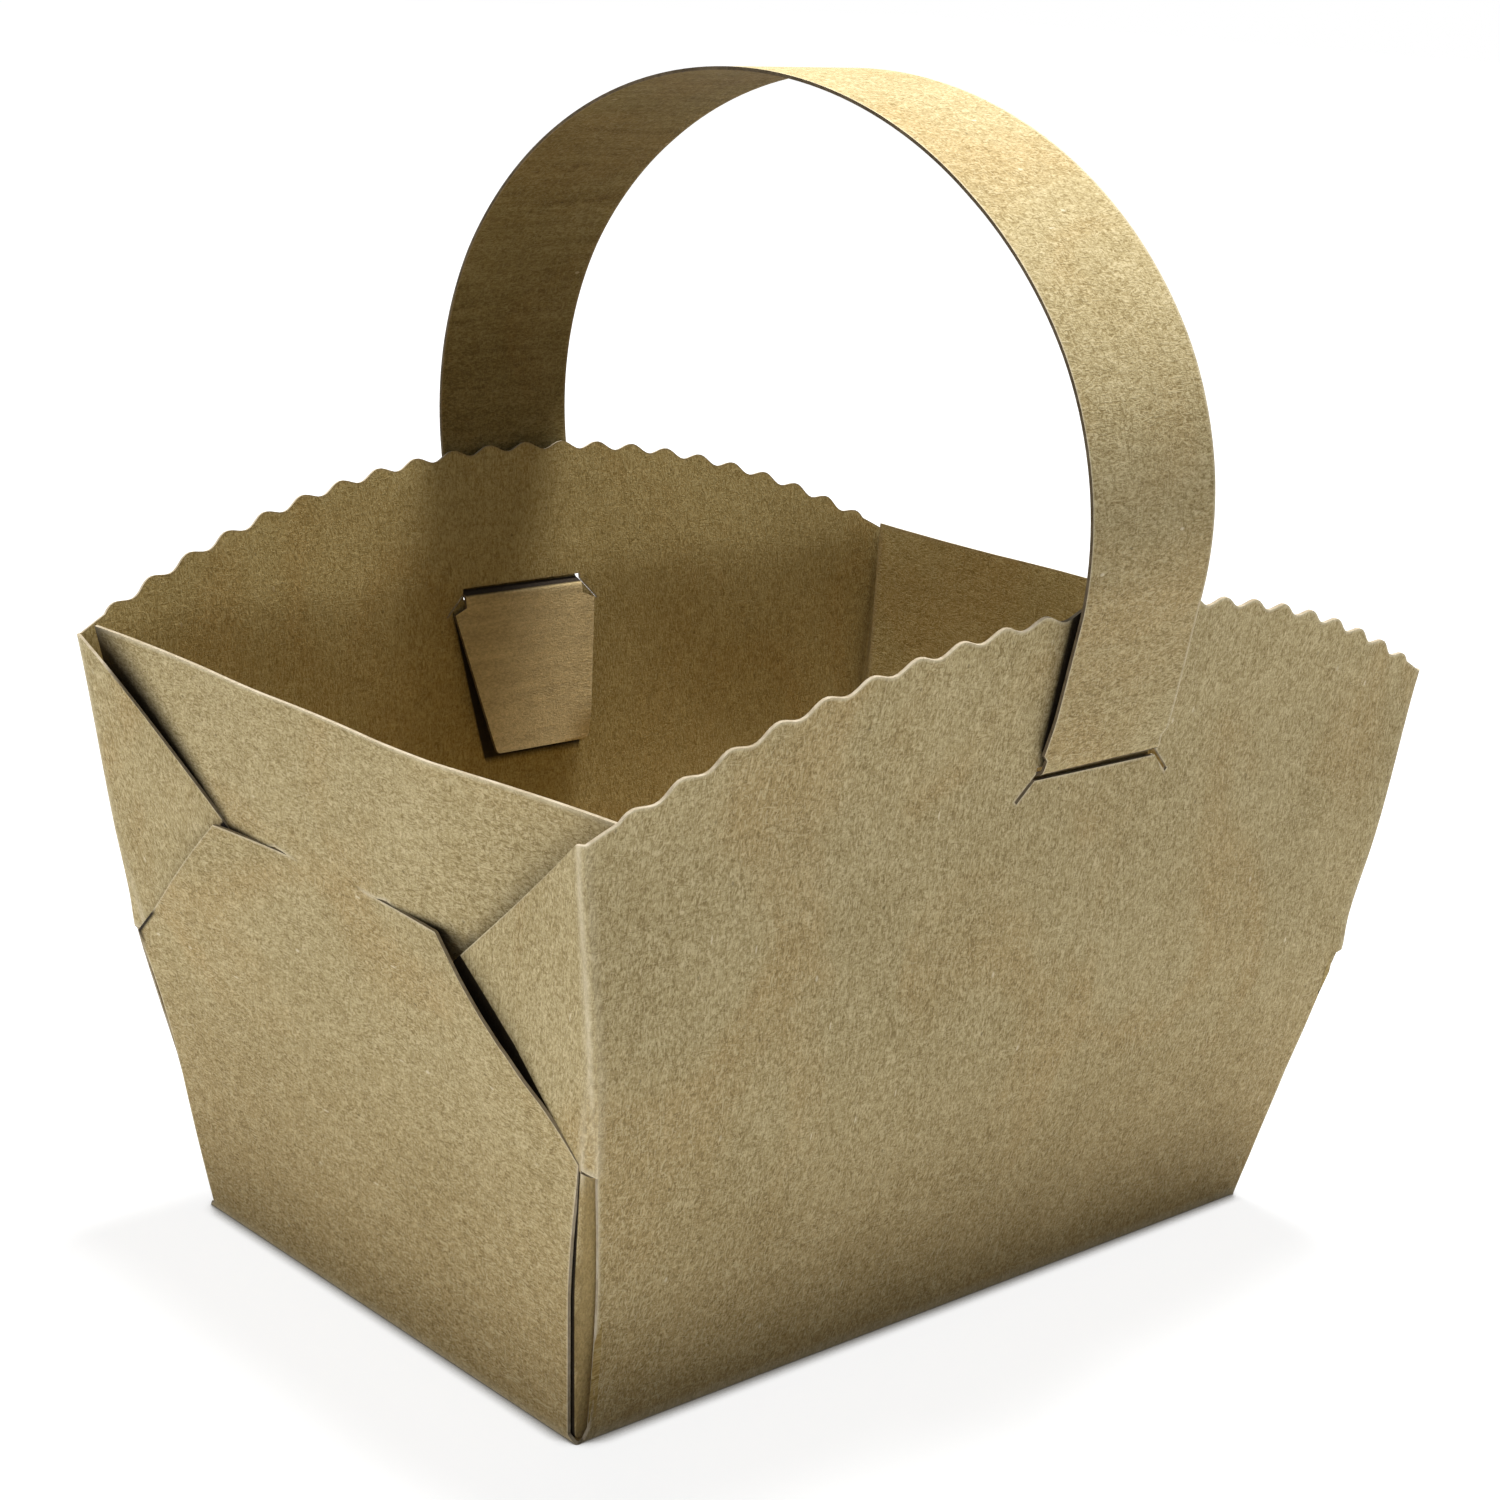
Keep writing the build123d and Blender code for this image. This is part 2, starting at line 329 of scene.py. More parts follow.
    @staticmethod
    def _noise(
        desk: NodeDesk, place: Any, scale: Colour, detail: float, rough: float, curl: float
    ) -> Signal:
        """Cloudy noise on the board.

        Args:
            desk: where the nodes go.
            place: the place on the board, in mm.
            scale: waves per mm along each axis.
            detail: octaves.
            rough: how strong the finer octaves are.
            curl: distortion that curls the fibres.

        Returns:
            The noise, about 0.5 on average.
        """
        sockets = {
            "Vector": desk.scaled(place, scale, (0.0, 0.0, 0.0)),
            "Scale": 1.0,
            "Detail": detail,
            "Roughness": rough,
            "Distortion": curl,
        }
        return desk.signal(desk.node("ShaderNodeTexNoise", {"noise_dimensions": "2D"}, sockets), 0)

    @staticmethod
    def _flecks(desk: NodeDesk, place: Any, scale: Colour, rare: float, size: float) -> Signal:
        """Small separate flecks on the board.

        Args:
            desk: where the nodes go.
            place: the place on the board, in mm.
            scale: cells per mm along each axis.
            rare: share of the cells that stay empty.
            size: size of a fleck against its cell.

        Returns:
            A mask, 1 in the flecks.
        """
        vector = desk.scaled(place, scale, (0.0, 0.0, 0.0))
        settings = {"voronoi_dimensions": "2D", "feature": "F1"}
        sockets = {"Vector": vector, "Scale": 1.0, "Randomness": 1.0}
        cells = desk.node("ShaderNodeTexVoronoi", settings, sockets)
        split = desk.node("ShaderNodeSeparateColor", {}, {"Color": cells.outputs["Color"]})
        chosen = desk.signal(split, "Red").step(rare, rare + 0.04)
        near = 1.0 - desk.signal(cells, "Distance").step(0.5 * size, size)
        return chosen * near


@dataclass(frozen=True)
class CutEdge:
    """Finish of the board's cut edge: pale, layered pulp."""

    name: str
    core: Colour
    layer: Colour
    roughness: float = 0.9
    specular: float = 0.2
    layer_scale: float = 1500.0
    patch_scale: float = 260.0
    bump_strength: float = 0.4
    bump_depth: float = 0.05

    def material(self) -> bpy.types.Material:
        """Builds the finish.

        Returns:
            The finished material.
        """
        made = bpy.data.materials.new(self.name)
        made.use_nodes = True
        desk = NodeDesk(made.node_tree)
        place = desk.node("ShaderNodeTexCoord", {}, {}).outputs["Object"]
        sockets = {"Vector": place, "Scale": self.layer_scale, "Detail": 2.0, "Roughness": 0.6}
        layers = desk.signal(desk.node("ShaderNodeTexNoise", {}, sockets), 0)
        patch_sockets = {"Vector": place, "Scale": self.patch_scale, "Detail": 2.0}
        patches = desk.signal(desk.node("ShaderNodeTexNoise", {}, patch_sockets), 0)
        share = (0.6 * layers + 0.6 * patches).step(0.42, 0.78)
        colour = desk.blend(share, self.core, self.layer)
        relief = {"Strength": self.bump_strength, "Distance": self.bump_depth * MM, "Height": layers}
        bump = desk.node("ShaderNodeBump", {}, relief)
        shader = desk.node(
            "ShaderNodeBsdfPrincipled",
            {},
            {
                "Base Color": colour,
                "Roughness": self.roughness,
                "Normal": bump.outputs["Normal"],
                "Specular IOR Level": self.specular,
            },
        )
        desk.node("ShaderNodeOutputMaterial", {}, {"Surface": shader.outputs["BSDF"]})
        made.diffuse_color = (*self.core, 1.0)
        return made


def fall(distance: Points, reach: float) -> Points:
    """Soft bump: 1 at no distance, near 0 past the reach."""
    return np.exp(-((distance / reach) ** 2))


def spread(*stops: tuple[float, int]) -> Points:
    """Numbers in even steps between stops.

    Args:
        stops: each stop and how many steps lead to it; the first one's steps are not used.

    Returns:
        All the numbers, in order.
    """
    parts = [np.array([stops[0][0]])]
    for (before, _), (after, steps) in zip(stops, stops[1:]):
        parts.append(np.linspace(before, after, steps + 1)[1:])
    return np.concatenate(parts)


def by_corner(near: float, left: float, right: float, far: float) -> Any:
    """A field with one number for each corner of the tray.

    Args:
        near: at -X and -Y, the corner nearest to the camera.
        left: at -X and +Y.
        right: at +X and -Y.
        far: at +X and +Y.

    Returns:
        The dataclass field, read as [end, side].
    """
    return field(default_factory=lambda: {(-1, -1): near, (-1, 1): left, (1, -1): right, (1, 1): far})


def by_side(minus: Any, plus: Any) -> Any:
    """A field with one value for each of two opposite sides, read as [-1] and [1]."""
    return field(default_factory=lambda: {-1: minus, 1: plus})


@dataclass
class SheetPiece:
    """What every piece folded from the board shares: its thickness and the way it is made.

    Sizes are in mm. The folds are laid out for the sheet's thickness, as in the CAD, and the board that
    shows is thinner.
    """

    sheet: float = 0.5
    board: float = 0.38
    smooth_angle: float = 38.0
    spring_power: float = 1.3

    def panel(
        self,
        name: str,
        columns: Points,
        rows: Points,
        place: Callable[[Points, Points], Points],
        flat: Callable[[Points, Points], Points],
        outward: Colour,
    ) -> bpy.types.Object:
        """Adds a grid and folds it to its place.

        Args:
            name: the panel's name.
            columns: where its columns stand, in the place function's first number.
            rows: where its rows stand, in its second number.
            place: gives the point in mm for each column and row.
            flat: gives the place on the flat board in mm.
            outward: a direction that its outside faces.

        Returns:
            The panel's object.
        """
        bpy.ops.object.select_all(action="DESELECT")
        wide, high = len(columns) - 1, len(rows) - 1
        bpy.ops.mesh.primitive_grid_add(x_subdivisions=wide, y_subdivisions=high, size=1.0)
        made = bpy.context.active_object
        made.name = name
        mesh = made.data
        grid = np.empty(len(mesh.vertices) * 3, dtype=np.float32)
        mesh.vertices.foreach_get("co", grid)
        grid = grid.reshape(-1, 3)
        across = columns[np.rint((grid[:, 0] + 0.5) * wide).astype(int)]
        along = rows[np.rint((grid[:, 1] + 0.5) * high).astype(int)]
        points = (place(across, along) * MM).astype(np.float32)
        mesh.vertices.foreach_set("co", points.ravel())
        corner = np.empty(len(mesh.loops), dtype=np.int32)
        mesh.loops.foreach_get("vertex_index", corner)
        spots = (flat(across, along) / BLANK + 0.5).astype(np.float32)
        mesh.uv_layers.active.data.foreach_set("uv", spots[corner].ravel())
        mesh.update()
        facing = sum((p.normal * p.area for p in mesh.polygons), Vector())
        if facing.dot(Vector(outward)) < 0:
            self.edit(made, "SELECT")
            bpy.ops.mesh.flip_normals()
            bpy.ops.object.mode_set(mode="OBJECT")
        return made

    @staticmethod
    def edit(piece: bpy.types.Object, selection: str) -> None:
        """Opens one piece in edit mode.

        Args:
            piece: the piece.
            selection: SELECT or DESELECT, for all or none of it.
        """
        bpy.ops.object.select_all(action="DESELECT")
        piece.select_set(True)
        bpy.context.view_layer.objects.active = piece
        bpy.ops.object.mode_set(mode="EDIT")
        bpy.ops.mesh.select_mode(type="VERT")
        bpy.ops.mesh.select_all(action=selection)

    @staticmethod
    def points_of(piece: bpy.types.Object) -> Points:
        """Where the piece's vertices are.

        Args:
            piece: the piece.

        Returns:
            One point in mm for each vertex.
        """
        flat = np.empty(len(piece.data.vertices) * 3, dtype=np.float32)
        piece.data.vertices.foreach_get("co", flat)
        return flat.reshape(-1, 3).astype(float) / MM

    @staticmethod
    def set_points(piece: bpy.types.Object, points: Points) -> None:
        """Moves the piece's vertices to points in mm."""
        piece.data.vertices.foreach_set("co", (points * MM).astype(np.float32).ravel())
        piece.data.update()

    @staticmethod
    def normals_of(piece: bpy.types.Object) -> Points:
        """Which way the piece's surface faces.

        Args:
            piece: the piece.

        Returns:
            One normal for each vertex.
        """
        flat = np.empty(len(piece.data.vertices) * 3, dtype=np.float32)
        piece.data.vertices.foreach_get("normal", flat)
        return flat.reshape(-1, 3).astype(float)

    @staticmethod
    def join(name: str, panels: list[bpy.types.Object]) -> bpy.types.Object:
        """Joins panels along their shared folds.

        Args:
            name: name of the joined sheet.
            panels: the panels.

        Returns:
            The sheet, with its doubles merged.
        """
        bpy.ops.object.select_all(action="DESELECT")
        for one in panels:
            one.select_set(True)
        bpy.context.view_layer.objects.active = panels[0]
        bpy.ops.object.join()
        whole = bpy.context.active_object
        whole.name = name
        whole.data.name = name
        SheetPiece.edit(whole, "SELECT")
        bpy.ops.mesh.remove_doubles(threshold=WELD * MM)
        bpy.ops.object.mode_set(mode="OBJECT")
        return whole

    def thicken(self, piece: bpy.types.Object, offset: float) -> None:
        """Gives the sheet its thickness and its cut edges.

        Args:
            piece: the sheet.
            offset: -1 puts the thickness inside the surface, 0 on both sides of it.
        """
        bpy.ops.object.select_all(action="DESELECT")
        piece.select_set(True)
        bpy.context.view_layer.objects.active = piece
        board = piece.modifiers.new("board", "SOLIDIFY")
        board.thickness = self.board * MM
        board.offset = offset
        board.use_even_offset = False
        board.material_offset = Face.INSIDE.value
        board.material_offset_rim = Face.CUT_EDGE.value
        bpy.ops.object.modifier_apply(modifier=board.name)
        bpy.ops.object.shade_smooth_by_angle(angle=math.radians(self.smooth_angle))

    @staticmethod
    def cut_line(piece: bpy.types.Object) -> Points:
        """Finds the cut edges of a sheet that has no thickness yet.

        Args:
            piece: the sheet.

        Returns:
            1 for each vertex on a cut edge, 0 for the others.
        """
        mesh = piece.data
        edge_of = np.empty(len(mesh.loops), dtype=np.int32)
        mesh.loops.foreach_get("edge_index", edge_of)
        ends = np.empty(len(mesh.edges) * 2, dtype=np.int32)
        mesh.edges.foreach_get("vertices", ends)
        single = np.bincount(edge_of, minlength=len(mesh.edges)) == 1
        values = np.zeros(len(mesh.vertices))
        values[ends.reshape(-1, 2)[single].ravel()] = 1.0
        return values

    @staticmethod
    def mark(piece: bpy.types.Object, name: str, values: Points) -> None:
        """Writes one number per vertex for the finish to read."""
        layer = piece.data.attributes.new(name, "FLOAT", "POINT")
        layer.data.foreach_set("value", values.astype(np.float32))

    @staticmethod
    def dress(piece: bpy.types.Object, finishes: list[Union[KraftFace, CutEdge]]) -> None:
        """Gives the piece its finishes.

        Args:
            piece: the piece.
            finishes: one for each face of the board, in the order of Face.
        """
        piece.data.materials.clear()
        for finish in finishes:
            piece.data.materials.append(finish.material())


@dataclass
class FoldedTray(SheetPiece):
    """The tray: base, long walls with scalloped rims, corner tabs, tongues and ears, one sheet.

    Angles are in degrees. An end is 1 or -1 along X and a side is 1 or -1 along Y.
    """

    # The folded box, as in the CAD.
    base_length: float = 108.0
    base_width: float = 72.2
    rim_length: float = 131.0
    rim_width: float = 94.4
    corner_height: float = 70.8
    corner_radius: float = 0.9
    arch_rise: float = 16.0
    wall_bow: float = 2.2
    wall_spring: float = 2.7
    kerf: float = 0.3
    fit: float = 0.15
    # The scalloped rim.
    scallop_pitch: float = 5.9
    scallop_depth: float = 1.0
    scallop_steps: int = 5
    # The folds at the corners and around the base, and their wear.
    delta_back: float = 0.3
    delta_length: float = 12.0
    fold_columns: int = 7
    fold_power: float = 1.5
    fold_run: float = 1.4
    fold_bevel: float = 0.5
    fold_wear: float = 0.82
    base_wear: float = 0.8
    line_wear: float = 0.45
    # The open corner below the slit: its rows, the wall's cut edge and the strip that shows in it.
    toe: float = 1.6
    toe_top: float = 3.0
    tuck_length: float = 5.0
    tuck_below: float = 0.6
    tuck_near: float = 0.1
    edge_line: float = 0.35
    edge_stops: tuple[float, ...] = (0.0, 1.6, 5.6, 12.6, 19.4, 25.9, 33.0)
    edge_insets: dict[int, tuple[float, ...]] = by_side(
        (0.3, 1.1, 1.2, 1.1, 0.9, 0.6, 0.3), (-0.3, -0.3, -0.1, 0.7, 1.5, 1.4, 1.3)
    )
    strip_gap: float = 0.35
    strip_recess: float = 0.62
    strip_low: float = 0.25
    strip_least: float = 0.9
    strip_shares: tuple[float, ...] = (0.0, 0.25, 0.45, 0.7, 1.0)
    strip_insets: tuple[float, ...] = (0.0, 0.06, 0.3, 0.9, 1.9)
    strip_depths: tuple[float, ...] = (1.0, 0.5, 0.2, 0.0, 0.0)
    strip_run: float = 1.4
    strip_shade_margin: float = 0.05
    # The slit of an end wall, and the shade painted in it.
    slit_height: float = 54.4
    slit_share: float = 0.404
    slit_bend: Corners = by_corner(19.5, PLAIN_BEND, PLAIN_BEND, PLAIN_BEND)
    slit_foot: float = 35.8
    slit_opening: float = 1.5
    slit_gape: float = 0.2
    gape_at: float = 0.2
    gape_half: float = 0.16
    slit_ends: tuple[float, ...] = (0.8, 2.8, -0.6, 0.8)
    slit_darks: tuple[float, ...] = (0.0, 1.0, 1.0, 0.6)
    slit_rise: float = 0.2
    slit_blur: float = 0.6
    # The tongue below the slit, how its corners spring, and the shadow painted beside one of its edges.
    tongue_foot: float = 34.9
    tongue_waist: float = 37.9
    tongue_shoulder: float = 41.6
    tongue_proud: float = 0.25
    tongue_shares: tuple[float, ...] = (0.95, 0.978, 0.991)
    foot_step: float = 0.8
    waist_share: float = 0.55
    slant_swell: Corners = by_corner(1.3, 0.0, 0.0, 0.0)
    tongue_lift: Corners = by_corner(1.15, 0.7, 0.9, 0.5)
    lift_reach: float = 8.0
    lift_stops: tuple[float, ...] = (-0.35, 0.0, 0.1, 0.22, 0.36, 0.5, 0.65, 0.76, 0.86, 1.0)
    lift_shares: tuple[float, ...] = (0.0, 0.3, 0.6, 0.9, 1.0, 0.92, 0.52, 0.12, 0.0, 0.0)
    shoulder_lift: Corners = by_corner(-0.5, 0.5, 0.1, 0.3)
    shoulder_reach: float = 7.0
    notch_inset: float = 0.95
    notch_blur: float = 0.4
    notch_height: float = 1.6
    notch_half: float = 1.9
    # The ear above it, and the shade painted on it behind the tab.
    ear_height: float = 72.7
    ear_dip: float = 0.2
    ear_bend: Corners = by_corner(0.9, 1.2, 1.1, 1.1)
    ear_setback: Corners = by_corner(7.0, 3.4, 3.0, 3.0)
    ear_curl: float = 0.45
    ear_bulge: float = 0.35
    ear_side_gap: float = 0.8
    ear_lap: float = 3.2
    lap_stops: tuple[float, ...] = (0.06, 0.2, 0.5, 0.75)
    wing_bend: float = 0.3
    ear_gloom: Corners = by_corner(0.3, 0.95, 0.6, 0.6)
    gloom_reach: tuple[float, float] = (2.0, 5.5)
    gloom_power: float = 1.2
    # The tab between them, and the shade painted on it along the slanting cut.
    tab_slope: Corners = by_corner(38.6, 35.5, 35.5, 35.5)
    tab_tip: float = 13.0
    tab_foot: float = 0.3
    tab_foot_width: float = 9.0
    tip_stop: float = 0.62
    tip_spans: tuple[float, float] = (0.05, 0.02)
    tip_round: float = 0.06
    tip_weights: tuple[float, float, float] = (0.3, 0.55, 0.15)
    shade_edge_lines: tuple[float, float] = (0.1, 0.25)
    painted_shade_depth: float = 0.27
    closed_share: float = 0.24
    # The strap's slot, and the shade painted behind the strap and its lock.
    slot_height: float = 69.0
    slot_shift: dict[int, float] = by_side(4.6, 0.65)
    slot_low: float = 0.9
    slot_high: float = 0.6
    slot_half: float = 9.65
    slot_nick: float = 2.8
    nick_width: dict[int, float] = by_side(0.5, 0.18)
    slot_reach: float = 16.0
    slot_band: float = 8.0
    strap_half: float = 9.9
    strap_blur: float = 0.6
    strap_clear: float = 1.2
    lock_length: float = 20.3
    lock_halves: tuple[float, float] = (11.3, 8.1)
    lock_slew: float = 0.9
    lock_drop: float = 2.4
    lock_rise: float = 0.1
    lock_blur: float = 0.3
    lock_margin: float = 4.0
    lock_above: float = 1.5
    lock_foot_blur: tuple[float, float] = (1.7, 2.7)
    # Ripples, dished ends and dented corners.
    ripple: float = 0.12
    ripple_rise: float = 18.0
    end_dish: dict[int, float] = by_side(3.0, 2.0)
    dish_height: float = 55.0
    dish_most: float = 1.3
    dish_power: float = 1.2
    end_margin: float = 2.0
    corner_dent: Corners = by_corner(0.0, 0.0, 0.55, 0.3)
    dent_from: float = 40.0
    dent_run: float = 20.0
    dent_power: float = 30.0
    dent_height: float = 41.0
    dent_reach: float = 6.0
    corner_flick: Corners = by_corner(0.0, 0.3, 0.7, 0.3)
    flick_reach: float = 3.0

    def __post_init__(self) -> None:
        """Works out the sizes that follow from the driving ones."""
        self.rim_middle = self.corner_height + self.arch_rise
        self.half_chord = self.rim_length / 2 - self.corner_radius
        self.arch_radius = (self.half_chord**2 + self.arch_rise**2) / (2 * self.arch_rise)
        self.arch_centre = self.rim_middle - self.arch_radius
        self.arch_half = self.arch_radius * math.asin(self.half_chord / self.arch_radius)
        self.half_waves = 2 * math.floor(2 * self.arch_half / self.scallop_pitch) - 1
        self.side_lean = (self.rim_width - self.base_width) / 2 / self.corner_height
        end_lean = (self.rim_length - self.base_length) / 2 / self.corner_height
        self.end_rise = math.cos(math.atan(end_lean))
        self.tuck = self.sheet / self.end_rise + self.fit
        spring = (self.tuck + self.tongue_proud) / (self.slit_height * self.end_rise)
        self.tongue_lean = end_lean + spring
        self.tongue_angle = math.atan(self.tongue_lean)
        self.tuck_foot = self.slit_foot * self.end_rise - self.tuck_below
        self.tuck_top = self.tuck_foot + self.tuck_length
        cut_top = self.tuck_foot - self.kerf
        foot_rows = spread((0.0, 0), (self.tab_foot, 1), (self.toe, 1), (self.toe_top, 1), (cut_top, 12))
        below_rim = self.corner_height - self.edge_line
        fold_rows = spread((self.tuck_foot, 0), (self.tuck_top, 5), (below_rim, 18), (self.corner_height, 1))
        self.heights = np.concatenate([foot_rows, fold_rows])
        wave_half = self.half_waves * self.scallop_pitch / 4
        steps = self.half_waves * self.scallop_steps
        beside = self.arch_half - self.edge_line
        run = spread((-self.arch_half, 0), (-beside, 1), (-wave_half, 4), (0.0, steps // 2))
        self.wall_columns = np.concatenate([run, -run[::-1][1:]]) / self.arch_half
        inner, middle, outer = self.tongue_shares
        half_columns = spread((self.slit_share, 0), (inner, 9), (middle, 1), (outer, 1), (1.0, 1))
        between = spread((-self.slit_share, 0), (self.slit_share, 8))
        self.tongue_columns = np.concatenate([-half_columns[::-1], between[1:], half_columns[1:]])

    def half_width(self, height: Points) -> Points:
        """Half width of the tray at its corners, at a height, with the spring of the long walls."""
        spring = np.sin(math.pi * np.clip(height / self.corner_height, 0.0, 1.0)) ** self.spring_power
        return self.base_width / 2 + self.side_lean * height + self.wall_spring * spring

    def tab_plane(self, height: Points) -> Points:
        """Distance from the middle to the outside of the corner tabs.

        Args:
            height: up from the table.

        Returns:
            The distances in mm.
        """
        lowest = self.base_length / 2 - self.tuck
        below = lowest + self.tongue_lean * np.minimum(height, self.tuck_top)
        share = (height - self.tuck_top) / (self.corner_height - self.tuck_top)
        top_below = lowest + self.tongue_lean * self.tuck_top
        return below + np.maximum(share, 0.0) * (self.rim_length / 2 - top_below)

    def wall_crease(self, height: Points) -> Points:
        """How far the crease beside a long wall stands back from the corner, at a height."""
        stops = (self.tuck_foot, self.tuck_foot + self.delta_length)
        return np.interp(height, stops, (self.delta_back, self.corner_radius))

    def tab_crease(self, height: Points) -> Points:
        """How far the crease beside a tab stands back from the corner.

        Args:
            height: up from the table.

        Returns:
            The distances in mm.
        """
        low = np.minimum(height, self.tuck_foot)
        strip = self.half_width(low) - self.tongue_half(low / self.end_rise) - self.strip_gap
        share = np.clip((height - self.tuck_foot) / self.delta_length, 0.0, 1.0)
        return np.maximum(strip, self.strip_least) * (1.0 - share) + self.corner_radius * share

    def tongue_half(self, up: Points, bend: float = PLAIN_BEND, swell: float = 0.0) -> Points:
        """Half width of the tongue.

        Args:
            up: up its slope from the base.
            bend: from the middle of the wall to the bend of the slit.
            swell: how far the middle of the slanting edge bulges.

        Returns:
            The half widths in mm.
        """
        middle = (self.slit_foot + self.slit_height) / 2
        waist = self.waist_share * self.slit_foot
        stops = (0.0, self.foot_step, waist, self.slit_foot, middle, self.slit_height)
        slanted = (self.tongue_shoulder, (self.tongue_shoulder + bend) / 2 + swell, bend)
        return np.interp(up, stops, (self.base_width / 2, self.tongue_foot, self.tongue_waist, *slanted))

    def slant(self, end: int, side: int) -> tuple[Points, Points, float]:
        """The slanting cut of a corner, from the slit's bend to the tongue's shoulder.

        Args:
            end: 1 or -1 along X.
            side: 1 or -1 along Y.

        Returns:
            Its top, its direction (across and up) and its length.
        """
        top = np.array([self.slit_bend[end, side], self.slit_height])
        run = np.array([self.tongue_shoulder, self.slit_foot]) - top
        length = float(np.linalg.norm(run))
        return top, run / length, length

    def rim(self, along: Points) -> tuple[Points, Points]:
        """Point of the scalloped rim at a length along its arch.

        Args:
            along: length from the middle of the arch.

        Returns:
            Distance along the tray, and height.
        """
        wave = self.scallop_pitch / 2
        phase = along / wave + self.half_waves / 2
        inside = (phase >= 0) & (phase <= self.half_waves)
        swing = np.where(inside, np.sin(math.pi * phase), 0.0) * self.scallop_depth / 2
        reach = self.arch_radius + swing
        turn = along / self.arch_radius
        return reach * np.sin(turn), self.arch_centre + reach * np.cos(turn)

    def wall_bulge(self, x: Points, height: Points) -> Points:
        """How far the strap springs a long wall outwards."""
        share = 1.0 - (x / self.tab_plane(height)) ** 2
        return self.wall_bow * height / self.rim_middle * np.maximum(share, 0.0)

    def wall_point(self, column: Points, row: Points) -> Points:
        """Point of the long wall on the +Y side.

        Args:
            column: from -1 at one corner to 1 at the other.
            row: height at the corner.

        Returns:
            The points in mm.
        """
        share = row / self.corner_height
        rim_x, rim_z = self.rim(column * self.arch_half)
        height = rim_z * share
        level = np.minimum(height, self.corner_height)
        across = column + (rim_x / self.half_chord - column) * share
        x = across * (self.tab_plane(level) - self.wall_crease(level))
        insets = {end: np.interp(row, self.edge_stops, self.edge_insets[end]) for end in (-1, 1)}
        edge = self.tab_plane(row) - np.where(column < 0, insets[-1], insets[1])
        rank = (np.abs(column) - 1.0) * self.arch_half + self.edge_line
        cut = (rank > -TINY) & (row < self.tuck_foot - CLOSE)
        x = np.where(cut, np.sign(column) * (edge + rank - self.edge_line), x)
        y = self.half_width(height) + self.wall_bulge(x, height)
        return np.stack([x, y, height], axis=1)

    def tongue_point(self, across: Points, up: Points, out: Points) -> Points:
        """Point on the end wall on the +X side.

        Args:
            across: from its middle.
            up: up its slope from the base.
            out: off its surface.

        Returns:
            The points in mm.
        """
        sine, cosine = math.sin(self.tongue_angle), math.cos(self.tongue_angle)
        x = self.base_length / 2 + up * sine + out * cosine
        return np.stack([x, across, up * cosine - out * sine], axis=1)

    @staticmethod
    def turned(points: Points, end: int, side: int) -> Points:
        """Points of the +X +Y quarter, put at another end and side."""
        return points * np.array([end, side, 1.0])

    def base_panel(self) -> bpy.types.Object:
        """The base, its rows and columns those of the walls it folds into.

        Returns:
            The base's panel.
        """
        half = self.base_length / 2
        foot = self.wall_point(self.wall_columns, np.zeros_like(self.wall_columns))[:, 0]
        columns = np.concatenate([[-half], foot, [half]])
        rows = self.tongue_columns * self.base_width / 2

        def place(x: Points, y: Points) -> Points:
            """Flat on the table."""
            return np.stack([x, y, np.zeros_like(x)], axis=1)

        return self.panel("base", columns, rows, place, lambda x, y: np.stack([x, y], axis=1), (0, 0, -1))

    def long_wall(self, side: int) -> bpy.types.Object:
        """A long wall with its scalloped, arched rim and its strap slot.

        Args:
            side: 1 or -1, the side of the tray along Y.

        Returns:
            The wall's panel.
        """

        def flat(column: Points, row: Points) -> Points:
            """On the blank the wall lies beside the base."""
            points = self.wall_point(column, row)
            return np.stack([points[:, 0], side * (self.base_width / 2 + points[:, 2])], axis=1)

        wall = self.panel(
            "long_wall",
            self.wall_columns,
            self.heights,
            lambda column, row: self.turned(self.wall_point(column, row), 1, side),
            flat,
            (0, side, 0),
        )
        self.cut_slot(wall, self.slot_shift[side], self.nick_width[side])
        # Painted shade on the wall's outside under the strap, above the slot, where the strap stands off it.
        x, _, z = self.points_of(wall).T
        beside = np.abs(x - self.slot_shift[side])
        strap_shadow = np.clip((self.strap_half - beside) / self.strap_blur, 0.0, 1.0)
        self.mark(wall, "gap", strap_shadow * (z > self.slot_height + self.strap_clear))
        self.shade_lock(wall, self.slot_shift[side])
        return wall

    def shade_lock(self, wall: bpy.types.Object, middle: float) -> None:
        """Marks the inside of a wall with painted shade where the strap's hanging end shadows it.

        Args:
            wall: the wall's panel.
            middle: where the slot's middle lies along the wall.
        """
        high, low = self.slot_height - self.lock_drop, self.slot_height - self.lock_length
        wide, narrow = self.lock_halves
        around = (low - self.lock_margin, high + self.lock_above)
        beside_foot = (low - self.lock_margin, low + self.lock_margin)
        sides = []
        for hand in (-1, 1):
            top = Vector((middle + hand * wide, 0, high))
            foot = Vector((middle + self.lock_slew + hand * narrow, 0, low))
            run = (foot - top).normalized()
            inwards = Vector((hand * run.z, 0, -hand * run.x))
            sides.append((top, inwards))
            for outside in (0.0, self.lock_blur):
                self.score(wall, middle, top - inwards * outside, inwards, around)
        for below in self.lock_foot_blur:
            foot = Vector((middle, 0, low - below))
            self.score(wall, middle, foot, Vector((0, 0, 1)), beside_foot)
        points = self.points_of(wall)
        painted_shade = np.clip(points[:, 2] - low + self.lock_foot_blur[1], 0.0, 1.0)
        painted_shade *= points[:, 2] < high + self.lock_rise
        for top, inwards in sides:
            reach = (points - np.array(top)) @ np.array(inwards)
            painted_shade *= np.clip(reach / self.lock_blur + 1.0, 0.0, 1.0)
        self.mark(wall, "painted_shade_inside", painted_shade)

